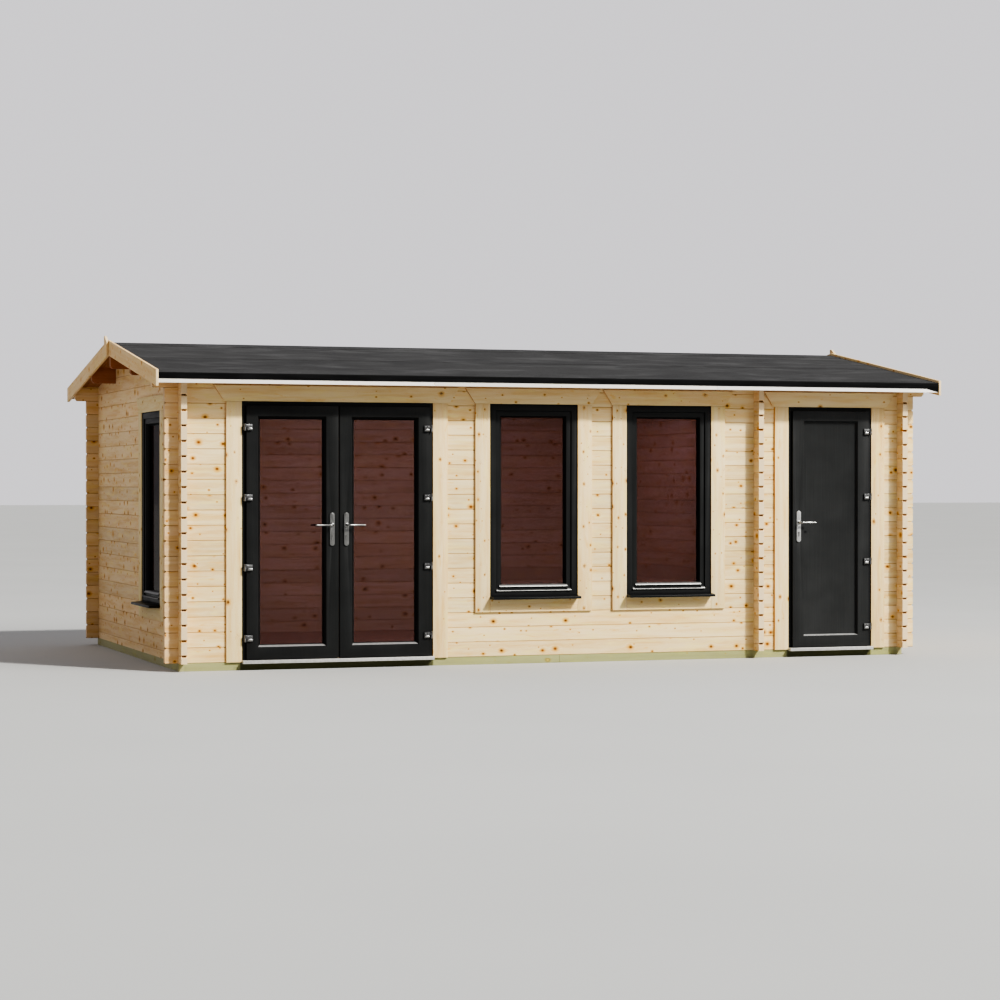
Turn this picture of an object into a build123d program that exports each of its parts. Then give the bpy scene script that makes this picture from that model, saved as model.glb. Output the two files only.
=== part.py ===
from build123d import *
import os
import math

# Log cabin with a main room and a side store.
# Plan coordinates while building: X 0..LEN along the front, Y 0..DEP into the
# depth (0 is the outer face of the front wall), Z up from the ground.
# Everything is shifted at export so that the origin is the centre of the
# footprint at ground level.  Millimetres.

# ---------------------------------------------------------------- driving sizes
LEN = 6010.0          # outer face to outer face of the two gable walls
DEP = 3400.0          # outer face to outer face of the front and rear walls
T = 45.0              # log thickness
COVER = 114.0         # cover height of one log
PROT = 103.0          # length of the log ends beyond a crossing wall
XP = 4680.0           # left face of the partition
HB = 60.0             # height of the foundation bearers
FLOOR_T = 19.0        # floor boards
GR = 4.0              # depth and half height of the V joint between two logs
N_FULL = 19           # courses up to the eaves

ROOF_TAN = 0.162      # roof slope, about 9.2 degrees
Z_WALL = 2226.0       # underside of the roof boards at the outer wall face
ROOF_BOARD = 26.0     # roof boards, measured upright
FELT_T = 5.0          # roof felt, measured upright
EAVES = 232.0         # roof boards beyond the front and rear walls
FASCIA_T = 18.0       # eaves board
GABLE_OVER = 200.0    # roof beyond the gable walls (inside the bargeboards)
BARGE_T = 20.0        # bargeboard thickness
BARGE_UP = 50.0       # bargeboard top above the underside of the roof
BARGE_H = 121.0       # bargeboard depth, measured upright
BARGE_OUT = 260.0     # bargeboard end beyond the wall face
COVER_W = 112.0       # board over the bargeboard joint at the apex
COVER_T = 18.0

DOOR_TOP = 2015.0     # top of the door and window frames in the front wall
FR_X0, FR_X1 = 479.0, 1977.0      # french door frame
ST_X0, ST_X1 = 4981.0, 5723.0     # store door frame
WIN_W = 724.0
W1_X0, W2_X0 = 2441.0, 3578.0     # front windows
WIN_Z0, WIN_Z1 = 502.0, 2015.0
SW_Y0 = 611.0                     # side window, nearest edge
SIDE_DROP = 57.0                  # the side window sits half a log lower

JAMB = 45.0           # door frame member
FRAME_Y0, FRAME_Y1 = -10.0, 56.0  # window frame depth
DOOR_FRAME_Y1 = 45.0   # door frames end flush with the inner wall face
LEAF_EDGE = 31.0      # leaf edge inside the outer edge of the frame
LEAF_Y0, LEAF_Y1, LEAF_Y2 = -32.0, -15.0, 22.0   # face, back of lip, inner face
LEAF_Z0, LEAF_Z1 = 80.0, 1984.0
MEET_GAP = 12.0        # between the two french doors
STILE = 98.0
BEAD = 18.0
RAIL_T, RAIL_B = 79.0, 88.0
HINGE_Z = (1820.0, 1293.0, 768.0, 238.0)
HINGE_H = 46.0
PIVOT_IN = 18.0       # hinge axis inside the outer edge of the frame
PIVOT_Y = -44.0
PLATE_W, PLATE_H = 38.0, 252.0
PLATE_Z = 1053.0
LEVER_Z = 1084.0
LEVER_L = 140.0

TRIM_W, TRIM_T = 120.0, 18.0
EAR = 79.0            # how far the ends of a head trim splay out
DOOR_EAR = 15.0       # overhang of a door's head trim past its side trims
TRIM_H = 120.0

os.makedirs("parts", exist_ok=True)
made = {}


def put(shape, name):
    made[name] = shape
    export_step(Pos(-LEN / 2, -DEP / 2, 0) * shape, "parts/" + name + ".step")


def bx(x0, x1, y0, y1, z0, z1):
    return Pos((x0 + x1) / 2, (y0 + y1) / 2, (z0 + z1) / 2) * Box(
        x1 - x0, y1 - y0, z1 - z0)


def prism(pts, vec):
    """A flat polygon of 3-D points, pushed along a vector."""
    w = Wire.make_polygon([Vector(*p) for p in pts], close=True)
    return Part(Solid.extrude(Face(w), Vector(*vec)).wrapped)


def group(items):
    """Several solids that do not touch, kept as one piece."""
    return Compound(children=[s for it in items for s in it.solids()])


def roof_z(y):
    return Z_WALL + ROOF_TAN * min(y, DEP - y)


def sky(extra=0.0, x0=-600.0, x1=LEN + 600.0):
    """Everything above the underside of the roof boards."""
    a, m, b = -700.0, DEP / 2, DEP + 700.0
    pts = [(x0, a, roof_z(a) + extra), (x0, m, roof_z(m) + extra),
           (x0, b, roof_z(b) + extra), (x0, b, 4000), (x0, a, 4000)]
    return prism(pts, (x1 - x0, 0, 0))


SKY = sky()


def wall_outline(z0, z1, first, half_top=False):
    """Cross-section of a stack of logs: points (thickness, height).
    first is the height of one joint; joints repeat every COVER."""
    joints = []
    k = math.ceil((z0 - first) / COVER - 1e-6)
    while first + k * COVER <= z1 + 1e-6:
        joints.append(first + k * COVER)
        k += 1
    if half_top:
        joints.append(HB + 18.5 * COVER)
    joints = sorted(j for j in joints if z0 - 1e-6 <= j <= z1 + 1e-6)
    up = []
    for j in joints:
        if abs(j - z0) < 1e-3:
            up += [(GR, z0), (0, z0 + GR)]
        elif abs(j - z1) < 1e-3:
            up += [(0, z1 - GR), (GR, z1)]
        else:
            up += [(0, j - GR), (GR, j), (0, j + GR)]
    if not joints or joints[0] > z0 + 1e-3:
        up = [(0, z0)] + up
    if not joints or joints[-1] < z1 - 1e-3:
        up = up + [(0, z1)]
    back = [(T - s, z) for s, z in reversed(up)]
    return up + back


def front_logs(x0, x1, z0, z1, y=0.0, half_top=False):
    pts = [(x0, y + s, z) for s, z in wall_outline(z0, z1, HB, half_top)]
    return prism(pts, (x1 - x0, 0, 0))


def side_logs(y0, y1, z0, z1, x=0.0):
    pts = [(x + s, y0, z) for s, z in wall_outline(z0, z1, HB + COVER / 2)]
    return prism(pts, (0, y1 - y0, 0))


CROSS_X = (0.0, XP, LEN - T)          # walls that the long walls cross
CROSS_Y = (0.0, DEP - T)


def notch_long(shape, y=0.0):
    """Leave the logs of the crossing walls room in a long wall."""
    cuts = []
    for x in CROSS_X:
        for j in range(-1, 20):
            lo = max(HB - 1, HB + COVER * j + 85.5)
            cuts.append(bx(x, x + T, y - 1, y + T + 1, lo, HB + COVER * j + 142.5))
    return shape - cuts


def notch_side(shape, x=0.0):
    cuts = []
    for y in CROSS_Y:
        for k in range(0, 19):
            cuts.append(bx(x - 1, x + T + 1, y, y + T,
                           HB + COVER * k + 28.5, HB + COVER * k + 85.5))
    return shape - cuts


SLOT_W, SLOT_H, SLOT_D = 10.0, 7.0, 34.0     # open ends of the two tongue grooves
VEE_H, VEE_D = 11.0, 12.0                     # log ends are chamfered to each joint


def vee(a, z, sign, p0, p1, along_y=True):
    """Notch that the chamfers of two log ends make at a joint; a is the end face."""
    o, i = a - sign * 1.0, a + sign * VEE_D
    h = VEE_H * (VEE_D + 1.0) / VEE_D
    if along_y:
        pts = [(p0, o, z - h), (p0, i, z), (p0, o, z + h)]
        return prism(pts, (p1 - p0, 0, 0))
    pts = [(o, p0, z - h), (i, p0, z), (o, p0, z + h)]
    return prism(pts, (0, p1 - p0, 0))


def slots_side(shape, x, z0, z1):
    """Groove ends at every joint, on both ends of a side wall or partition."""
    cuts = []
    for j in range(0, 19):
        z = HB + COVER * (j + 0.5)
        if z0 - 5 < z < z1 + 5:
            cuts.append(vee(-PROT, z, 1, x - 1, x + T + 1))
            cuts.append(vee(DEP + PROT, z, -1, x - 1, x + T + 1))
            for xc in (x + T / 2 - 8.5, x + T / 2 + 8.5):
                for a, b in ((-PROT - 1, -PROT + SLOT_D), (DEP + PROT - SLOT_D, DEP + PROT + 1)):
                    cuts.append(bx(xc - SLOT_W / 2, xc + SLOT_W / 2, a, b,
                                   z - SLOT_H / 2, z + SLOT_H / 2))
    return shape - cuts


def slots_long(shape, y, z0, z1):
    """The same on both ends of the front or rear wall."""
    cuts = []
    for k in range(1, 18):
        z = HB + COVER * k
        if z0 - 5 < z < z1 + 5:
            cuts.append(vee(-PROT, z, 1, y - 1, y + T + 1, False))
            cuts.append(vee(LEN + PROT, z, -1, y - 1, y + T + 1, False))
            for yc in (y + T / 2 - 8.5, y + T / 2 + 8.5):
                for a, b in ((-PROT - 1, -PROT + SLOT_D), (LEN + PROT - SLOT_D, LEN + PROT + 1)):
                    cuts.append(bx(a, b, yc - SLOT_W / 2, yc + SLOT_W / 2,
                                   z - SLOT_H / 2, z + SLOT_H / 2))
    return shape - cuts


# ------------------------------------------------------------------ foundation
BW = 45.0
inner = [LEN * i / 12.0 for i in range(1, 12)]     # joists under the floors
bearers = [bx(0, BW, 0, DEP, 0, HB), bx(LEN - BW, LEN, 0, DEP, 0, HB),
           bx(XP, XP + BW, BW, DEP - BW, 0, HB)]
for x in inner:
    if abs(x - XP) > 150:
        bearers.append(bx(x - BW / 2, x + BW / 2, BW, DEP - BW, 0, HB))
put(group(bearers), "floor_bearers")
JX = 3020.0           # butt joint in the front and rear bearers
put(group([bx(BW, JX - 1, 0, BW, 0, HB), bx(JX + 1, LEN - BW, 0, BW, 0, HB),
           bx(BW, JX - 1, DEP - BW, DEP, 0, HB),
           bx(JX + 1, LEN - BW, DEP - BW, DEP, 0, HB)]), "front_and_rear_bearers")

put(group([bx(T, XP, T, DEP - T, HB, HB + FLOOR_T),
           bx(XP + T, LEN - T, T, DEP - T, HB, HB + FLOOR_T)]), "floors")

# ------------------------------------------------------------------ front wall
K17 = HB + 17 * COVER       # 1998, joint below the header logs
K4 = HB + 4 * COVER         # 516, joint near the window sills
K18 = HB + 18 * COVER
TOP_X0, TOP_X1 = -GABLE_OVER, LEN + GABLE_OVER


def end_chamfer(z, x_end, sign, y0, y1, c=18.0):
    """Wedge that takes the lower corner off a log end."""
    pts = [(x_end - sign * 1, y0 - 1, z - 1), (x_end + sign * c, y0 - 1, z - 1),
           (x_end + sign * c, y0 - 1, z), (x_end, y0 - 1, z + c),
           (x_end - sign * 1, y0 - 1, z + c)]
    return prism(pts, (0, y1 - y0 + 2, 0))


def long_header(y):
    low = front_logs(-PROT, LEN + PROT, K17, K18, y)
    top = front_logs(TOP_X0, TOP_X1, K18, Z_WALL + 14, y, True)
    # shared joint faces are V shaped on both, so the two stacks fuse cleanly
    h = low + top
    h = h - SKY
    h = h - [end_chamfer(K18, TOP_X0, 1, y, y + T), end_chamfer(K18, TOP_X1, -1, y, y + T)]
    return slots_long(notch_long(h, y), y, K17, K18)


put(slots_long(notch_long(front_logs(-PROT, FR_X0, HB, K17)), 0.0, HB, K17),
    "front_wall_left_end")
low = front_logs(FR_X1, ST_X0, HB, K4)
for x0 in (W1_X0, W2_X0):
    low = low - bx(x0, x0 + WIN_W, -1, T + 1, WIN_Z0, K4 + 1)
put(notch_long(low), "front_wall_below_windows")
put(front_logs(FR_X1, W1_X0, K4, K17), "front_wall_door_pier")
put(front_logs(W1_X0 + WIN_W, W2_X0, K4, K17), "front_wall_middle_pier")
put(notch_long(front_logs(W2_X0 + WIN_W, ST_X0, K4, K17)), "front_wall_store_pier")
put(slots_long(notch_long(front_logs(ST_X1, LEN + PROT, HB, K17)), 0.0, HB, K17),
    "front_wall_right_end")
head = long_header(0.0)
for x0, x1 in ((FR_X0, FR_X1), (W1_X0, W1_X0 + WIN_W), (W2_X0, W2_X0 + WIN_W),
               (ST_X0, ST_X1)):
    head = head - bx(x0, x1, -1, T + 1, K17 - 1, DOOR_TOP)
put(head, "front_wall_header")

# ------------------------------------------------------------------- rear wall
rear = front_logs(-PROT, LEN + PROT, HB, K18, DEP - T) + front_logs(
    TOP_X0, TOP_X1, K18, Z_WALL + 14, DEP - T, True)
rear = rear - SKY
rear = rear - [end_chamfer(K18, TOP_X0, 1, DEP - T, DEP),
               end_chamfer(K18, TOP_X1, -1, DEP - T, DEP)]
put(slots_long(notch_long(rear, DEP - T), DEP - T, HB, K18), "rear_wall")

# --------------------------------------------------------------------- purlins
PUR_W = 45.0
RIDGE_Z0 = 2320.0
MID_Y = 850.0
MID_Z0 = 2236.0


def purlin(yc, z0):
    p = bx(TOP_X0, TOP_X1, yc - PUR_W / 2, yc + PUR_W / 2, z0, 2700) - SKY
    return p - [end_chamfer(z0, TOP_X0, 1, yc - PUR_W / 2, yc + PUR_W / 2),
                end_chamfer(z0, TOP_X1, -1, yc - PUR_W / 2, yc + PUR_W / 2)]


purlins = [purlin(DEP / 2, RIDGE_Z0), purlin(MID_Y, MID_Z0), purlin(DEP - MID_Y, MID_Z0)]
put(group(purlins), "roof_purlins")


def purlin_room(shape):
    return shape - [bx(-700, LEN + 700, yc - PUR_W / 2, yc + PUR_W / 2, z0, 2700)
                    for yc, z0 in ((DEP / 2, RIDGE_Z0), (MID_Y, MID_Z0),
                                   (DEP - MID_Y, MID_Z0))]


# --------------------------------------------------------- gables and partition
J3 = HB + 3.5 * COVER       # 459
J16 = HB + 16.5 * COVER     # 1941
SW_Y1 = SW_Y0 + WIN_W
SW_Z0, SW_Z1 = WIN_Z0 - SIDE_DROP, WIN_Z1 - SIDE_DROP


def gable(x, y0, y1, z0, z1, open_top=False):
    g = side_logs(y0, y1, z0, z1, x)
    if open_top:
        g = purlin_room(g - SKY)
    return slots_side(notch_side(g, x), x, z0, min(z1, Z_WALL - 20))


low = side_logs(-PROT, DEP + PROT, HB, J3) - bx(-1, T + 1, SW_Y0, SW_Y1, SW_Z0, J3 + 1)
put(slots_side(notch_side(low), 0.0, HB, J3), "left_wall_below_window")
put(gable(0, -PROT, SW_Y0, J3, J16), "left_wall_front_pier")
put(gable(0, SW_Y1, DEP + PROT, J3, J16), "left_wall_rear_pier")
g = side_logs(-PROT, DEP + PROT, J16, 2560.0) - bx(-1, T + 1, SW_Y0, SW_Y1, J16 - 1, SW_Z1)
put(slots_side(notch_side(purlin_room(g - SKY)), 0.0, J16, Z_WALL - 20), "left_gable")
put(gable(LEN - T, -PROT, DEP + PROT, HB, 2560.0, True), "right_gable_wall")
put(gable(XP, -PROT, DEP + PROT, HB, 2560.0, True), "partition_wall")

# ------------------------------------------------------------------------ roof
mid = DEP / 2


def roof_slab(lift, thick, y_out, x0, x1, front=True):
    a, m = -y_out, mid - 0.5
    pts = [(a, roof_z(a) + lift), (m, roof_z(m) + lift),
           (m, roof_z(m) + lift + thick), (a, roof_z(a) + lift + thick)]
    if not front:
        pts = [(DEP - y, z) for y, z in pts]
    return prism([(x0, y, z) for y, z in pts], (x1 - x0, 0, 0))


put(group([roof_slab(0, ROOF_BOARD, EAVES, TOP_X0, TOP_X1, True),
           roof_slab(0, ROOF_BOARD, EAVES, TOP_X0, TOP_X1, False)]), "roof_boards")

FY = EAVES + FASCIA_T
fz1 = roof_z(-EAVES) + ROOF_BOARD - ROOF_TAN * FASCIA_T
FASCIA_Z0 = 2138.0


def fascia(front):
    pts = [(-EAVES, FASCIA_Z0), (-EAVES, fz1 + ROOF_TAN * FASCIA_T),
           (-FY, fz1), (-FY, FASCIA_Z0)]
    if not front:
        pts = [(DEP - y, z) for y, z in pts]
    return prism([(TOP_X0, y, z) for y, z in pts], (TOP_X1 - TOP_X0, 0, 0))


put(group([fascia(True), fascia(False)]), "eaves_boards")

# felt over both slopes, turned down over the eaves boards
LIP_T = 4.0
LIP_Z0 = 2168.0
fo = FY + LIP_T
up = [(-fo, LIP_Z0), (-fo, roof_z(-fo) + ROOF_BOARD + FELT_T), (mid, roof_z(mid) + ROOF_BOARD + FELT_T)]
dn = [(-FY, LIP_Z0), (-FY, roof_z(-FY) + ROOF_BOARD), (mid, roof_z(mid) + ROOF_BOARD)]
pts = up + [(DEP - y, z) for y, z in reversed(up[:-1])] + [(DEP - y, z) for y, z in dn[:-1]] + list(reversed(dn))
put(prism([(TOP_X0, y, z) for y, z in pts], (TOP_X1 - TOP_X0, 0, 0)), "roof_felt")


def barge(x0, x1, front):
    a, m = -BARGE_OUT, mid - 0.5
    top = lambda y: roof_z(y) + BARGE_UP
    pts = [(a, top(a) - BARGE_H), (m, top(m) - BARGE_H), (m, top(m)), (a, top(a))]
    if not front:
        pts = [(DEP - y, z) for y, z in pts]
    return prism([(x0, y, z) for y, z in pts], (x1 - x0, 0, 0))


XB0, XB1 = -GABLE_OVER - BARGE_T, LEN + GABLE_OVER
put(group([barge(XB0, XB0 + BARGE_T, True), barge(XB0, XB0 + BARGE_T, False),
           barge(XB1, XB1 + BARGE_T, True), barge(XB1, XB1 + BARGE_T, False)]),
    "bargeboards")


def apex_cover(x0, x1):
    zt, zb = roof_z(mid) + BARGE_UP, roof_z(mid) + BARGE_UP - BARGE_H
    y0, y1 = mid - COVER_W / 2 + 6, mid + COVER_W / 2 + 6
    pts = [(y0, zb - 2), (y1, zb - 2), (y1, zt + 34), (y1 - 30, zt + 34), (y0, zt - 22)]
    return prism([(x0, y, z) for y, z in pts], (x1 - x0, 0, 0))


put(group([apex_cover(XB0 - COVER_T, XB0),
           apex_cover(XB1 + BARGE_T, XB1 + BARGE_T + COVER_T)]), "apex_cover_boards")

# ---------------------------------------------------------------- door frames
THR_Z0, THR_Z1 = 49.0, 75.0
THR_Y0 = -60.0


def jambs(x0, x1):
    return [bx(a, a + JAMB, FRAME_Y0, DOOR_FRAME_Y1, THR_Z1, DOOR_TOP)
            for a in (x0, x1 - JAMB)]


def frame_head(x0, x1):
    return bx(x0 + JAMB, x1 - JAMB, FRAME_Y0, DOOR_FRAME_Y1, DOOR_TOP - JAMB, DOOR_TOP)


def threshold(x0, x1):
    # drips over the bearer in front; the floor boards butt against it inside
    pts = [(THR_Y0, THR_Z0), (-0.0, THR_Z0), (0.0, HB), (T, HB),
           (T, THR_Z1), (THR_Y0 + 3, THR_Z1), (THR_Y0, THR_Z1 - 3)]
    return prism([(x0, y, z) for y, z in pts], (x1 - x0, 0, 0))


put(group(jambs(FR_X0, FR_X1) + jambs(ST_X0, ST_X1)), "door_jambs")
put(group([frame_head(FR_X0, FR_X1), frame_head(ST_X0, ST_X1)]), "door_frame_heads")
put(group([threshold(FR_X0, FR_X1), threshold(ST_X0, ST_X1)]), "door_thresholds")


def hinge_fixed(xe, side, zc):
    """Frame half of a hinge: side +1 has the leaf on its right."""
    xp = xe + side * PIVOT_IN
    zl, zh = zc - HINGE_H / 2, zc - 0.3
    arm = bx(min(xp - side * 9, xp + side * 3), max(xp - side * 9, xp + side * 3),
             PIVOT_Y, FRAME_Y0, zl, zh)
    brl = Pos(xp, PIVOT_Y, (zl + zh) / 2) * Cylinder(9.0, zh - zl)
    return arm + brl


def hinge_leaf(xe, side, zc):
    xp = xe + side * PIVOT_IN
    zl, zh = zc + 0.3, zc + HINGE_H / 2
    brl = Pos(xp, PIVOT_Y, (zl + zh) / 2) * Cylinder(9.0, zh - zl)
    a, b = xp, xp + side * 58
    pad = bx(min(a, b), max(a, b), PIVOT_Y, LEAF_Y0, zl, zh)
    low = bx(min(xp + side * 16, b), max(xp + side * 16, b), PIVOT_Y, LEAF_Y0,
             zc - HINGE_H / 2, zl + 1)
    return brl + pad + low


fixed = [hinge_fixed(FR_X0, 1, z) for z in HINGE_Z] + [
    hinge_fixed(FR_X1, -1, z) for z in HINGE_Z] + [
    hinge_fixed(ST_X1, -1, z) for z in HINGE_Z]
put(group(fixed), "hinge_frame_halves")

# ---------------------------------------------------------------- door leaves
GLASS_Y0, GLASS_Y1 = 2.0, 16.0


def rect_wire(x0, x1, z0, z1, y):
    return Wire.make_polygon([Vector(x0, y, z0), Vector(x1, y, z0),
                              Vector(x1, y, z1), Vector(x0, y, z1)], close=True)


def funnel(x0, x1, z0, z1, inset, ya, yb):
    """Opening that narrows by inset on every side from ya to yb."""
    a = rect_wire(x0, x1, z0, z1, ya)
    b = rect_wire(x0 + inset, x1 - inset, z0 + inset, z1 - inset, yb)
    return Part(Solid.make_loft([a, b], ruled=True).wrapped)


def leaf_blank(x0, x1, hinge_left, meet):
    """Leaf with an outer lip; the hinge side and the closing side differ."""
    outer = bx(x0, x1, LEAF_Y0, LEAF_Y1, LEAF_Z0, LEAF_Z1)
    step = JAMB - LEAF_EDGE + 5
    a, b = x0 + step, x1 - step
    if meet == "right":
        b = x1
    elif meet == "left":
        a = x0
    else:
        a += 4          # the closing edge swings out a little as it opens
    return outer + bx(a, b, LEAF_Y1 - 0.5, LEAF_Y2, LEAF_Z0, DOOR_TOP - JAMB - 5)


def spindle_hole(x, y0=-60, y1=60, r=10.0):
    return Pos(x, (y0 + y1) / 2, LEVER_Z) * Rot(90, 0, 0) * Cylinder(r, y1 - y0)


def glazed_leaf(x0, x1, meet, lock_x, stile_l, stile_r):
    s = leaf_blank(x0, x1, True, meet)
    gx0, gx1 = x0 + stile_l, x1 - stile_r
    gz0, gz1 = LEAF_Z0 + RAIL_B, LEAF_Z1 - RAIL_T
    s = s - funnel(gx0, gx1, gz0, gz1, BEAD, LEAF_Y0, GLASS_Y0)
    s = s - bx(gx0 + BEAD - 10, gx1 - BEAD + 10, GLASS_Y0, GLASS_Y1,
               gz0 + BEAD - 10, gz1 - BEAD + 10)
    s = s - bx(gx0 + BEAD, gx1 - BEAD, GLASS_Y1 - 1, LEAF_Y2 + 1,
               gz0 + BEAD, gz1 - BEAD)
    s = s - spindle_hole(lock_x)
    glass = bx(gx0 + BEAD - 10, gx1 - BEAD + 10, GLASS_Y0, GLASS_Y1,
               gz0 + BEAD - 10, gz1 - BEAD + 10)
    return s, glass


FR_MID = (FR_X0 + FR_X1) / 2
L_X0, L_X1 = FR_X0 + LEAF_EDGE, FR_MID - MEET_GAP / 2
R_X0, R_X1 = FR_MID + MEET_GAP / 2, FR_X1 - LEAF_EDGE
LOCK_IN = 50.0
leaf, glass = glazed_leaf(L_X0, L_X1, "right", L_X1 - LOCK_IN, 88.0, 94.0)
put(leaf, "left_french_door")
put(glass, "left_french_door_glass")
leaf, glass = glazed_leaf(R_X0, R_X1, "left", R_X0 + LOCK_IN, 94.0, 88.0)
put(leaf, "right_french_door")
put(glass, "right_french_door_glass")

S_X0, S_X1 = ST_X0 + LEAF_EDGE, ST_X1 - LEAF_EDGE
store = leaf_blank(S_X0, S_X1, False, None)
store = store - funnel(S_X0 + 98, S_X1 - 98, LEAF_Z0 + RAIL_B, LEAF_Z1 - RAIL_T,
                       10.0, LEAF_Y0, -6.0)
store = store - bx(S_X0 + 108, S_X1 - 108, LEAF_Y2 - 8, LEAF_Y2 + 1,
                   LEAF_Z0 + RAIL_B + 10, LEAF_Z1 - RAIL_T - 10)
store = store - spindle_hole(S_X0 + LOCK_IN)
put(store, "store_door")


def plate(x, y0, y1):
    """Long handle plate with rounded ends and a hole for the lever's neck."""
    h = PLATE_H - PLATE_W
    p = bx(x - PLATE_W / 2, x + PLATE_W / 2, y0, y1, PLATE_Z - h / 2, PLATE_Z + h / 2)
    for s in (-1, 1):
        p = p + Pos(x, (y0 + y1) / 2, PLATE_Z + s * h / 2) * Rot(90, 0, 0) * Cylinder(
            PLATE_W / 2, y1 - y0)
    return p - spindle_hole(x, r=10.5)


def hardware(x, hinge_xe, side):
    items = [hinge_leaf(hinge_xe, side, z) for z in HINGE_Z]
    items.append(plate(x, LEAF_Y0 - 8, LEAF_Y0))
    items.append(plate(x, LEAF_Y2, LEAF_Y2 + 8))
    return group(items)


def lever(x, d):
    """Lever pointing to d on both faces, on one spindle through the leaf."""
    y_out, y_in = LEAF_Y0 - 8, LEAF_Y2 + 8
    if d > 0:
        m = (y_out + y_in) / 2
        return Pos(x, m, 0) * Rot(0, 0, 180) * Pos(-x, -m, 0) * lever(x, -1)
    s = Pos(x, (y_out + y_in) / 2, LEVER_Z) * Rot(90, 0, 0) * Cylinder(5.0, y_in - y_out + 20)
    for ya, yb in ((y_out - 40, y_out + 6), (y_in - 6, y_in + 40)):
        s = s + Pos(x, (ya + yb) / 2, LEVER_Z) * Rot(90, 0, 0) * Cylinder(9.0, yb - ya)
    for yc in (y_out - 40, y_in + 40):
        bar = Pos(x + d * LEVER_L / 2, yc, LEVER_Z) * Rot(0, 90, 0) * Cylinder(
            9.0, LEVER_L - 9)
        s = s + bar + Pos(x + d * (LEVER_L - 4.5), yc, LEVER_Z) * Sphere(9.0)
        s = s + Pos(x, yc, LEVER_Z) * Sphere(10.0)
    return s


put(hardware(L_X1 - LOCK_IN, FR_X0, 1), "left_french_door_hardware")
put(hardware(R_X0 + LOCK_IN, FR_X1, -1), "right_french_door_hardware")
put(hardware(S_X0 + LOCK_IN, ST_X1, -1), "store_door_hardware")
put(lever(L_X1 - LOCK_IN, -1), "left_french_door_lever")
put(lever(R_X0 + LOCK_IN, 1), "right_french_door_lever")
put(lever(S_X0 + LOCK_IN, 1), "store_door_lever")

# -------------------------------------------------------------------- windows
WF = 50.0             # window frame member
SASH = 40.0
WBEAD = 10.0
SASH_Y0, SASH_Y1 = 0.0, 48.0
PANE_Y0, PANE_Y1 = 31.0, 41.0


def window(x0, z0, z1):
    x1 = x0 + WIN_W
    fr = bx(x0, x1, FRAME_Y0, FRAME_Y1, z0, z1) - bx(
        x0 + WF, x1 - WF, FRAME_Y0 - 1, FRAME_Y1 + 1, z0 + WF, z1 - WF)
    a0, a1, c0, c1 = x0 + WF, x1 - WF, z0 + WF, z1 - WF
    sa = bx(a0, a1, SASH_Y0, SASH_Y1, c0, c1)
    sa = sa - funnel(a0 + SASH, a1 - SASH, c0 + SASH, c1 - SASH, WBEAD, SASH_Y0, PANE_Y0)
    i = SASH + WBEAD
    sa = sa - bx(a0 + i - 8, a1 - i + 8, PANE_Y0, PANE_Y1, c0 + i - 8, c1 - i + 8)
    sa = sa - bx(a0 + i, a1 - i, PANE_Y1 - 1, SASH_Y1 + 1, c0 + i, c1 - i)
    gl = bx(a0 + i - 8, a1 - i + 8, PANE_Y0, PANE_Y1, c0 + i - 8, c1 - i + 8)
    pts = [(-102, z0), (FRAME_Y0, z0), (FRAME_Y0, z0 + 26), (-98, z0 + 18), (-102, z0 + 14)]
    sill = prism([(x0, y, z) for y, z in pts], (WIN_W, 0, 0))
    return fr, sa, gl, sill


def to_left_wall(s):
    """From the front wall's window 1 position to the left gable."""
    # X along the front becomes -Y along the side; the outer face turns to -X
    s = Pos(-W1_X0, 0, 0) * s
    s = Rot(0, 0, -90) * s
    return Pos(0, SW_Y0 + WIN_W, -SIDE_DROP) * s


w1 = window(W1_X0, WIN_Z0, WIN_Z1)
w2 = window(W2_X0, WIN_Z0, WIN_Z1)
w3 = [to_left_wall(s) for s in w1]
for i, name in enumerate(("window_frames", "window_sashes", "window_panes", "window_sills")):
    put(group([w1[i], w2[i], w3[i]]), name)

# ---------------------------------------------------------------------- trims


def side_trims(x0, x1, z_foot):
    return [bx(x0 - TRIM_W, x0, -TRIM_T, 0, z_foot, DOOR_TOP),
            bx(x1, x1 + TRIM_W, -TRIM_T, 0, z_foot, DOOR_TOP)]


def head_trim(x0, x1, ear0):
    """Head board whose ends splay outwards as it rises."""
    a, b = x0 - TRIM_W - ear0, x1 + TRIM_W + ear0
    pts = [(a, DOOR_TOP), (b, DOOR_TOP), (b + EAR, DOOR_TOP + TRIM_H),
           (a - EAR, DOOR_TOP + TRIM_H)]
    return prism([(x, -TRIM_T, z) for x, z in pts], (0, TRIM_T, 0))


def window_trim(x0, x1):
    """Sides, head and the board under the sill, all round the window."""
    foot = WIN_Z0 - 100
    s = head_trim(x0, x1, 0.0) + bx(x0, x1, -TRIM_T, 0, foot, WIN_Z0)
    for q in side_trims(x0, x1, foot):
        s = s + q
    return s


put(group(side_trims(FR_X0, FR_X1, HB) + side_trims(ST_X0, ST_X1, HB)), "door_side_trims")
put(group([head_trim(FR_X0, FR_X1, DOOR_EAR), head_trim(ST_X0, ST_X1, DOOR_EAR)]),
    "door_head_trims")
t1 = window_trim(W1_X0, W1_X0 + WIN_W)
t2 = window_trim(W2_X0, W2_X0 + WIN_W)
put(group([t1, t2, to_left_wall(t1)]), "window_trims")

print(len(made), "nodes")
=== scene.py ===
import math
import random

import bmesh
import bpy
from mathutils import Matrix, Vector, noise


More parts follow.
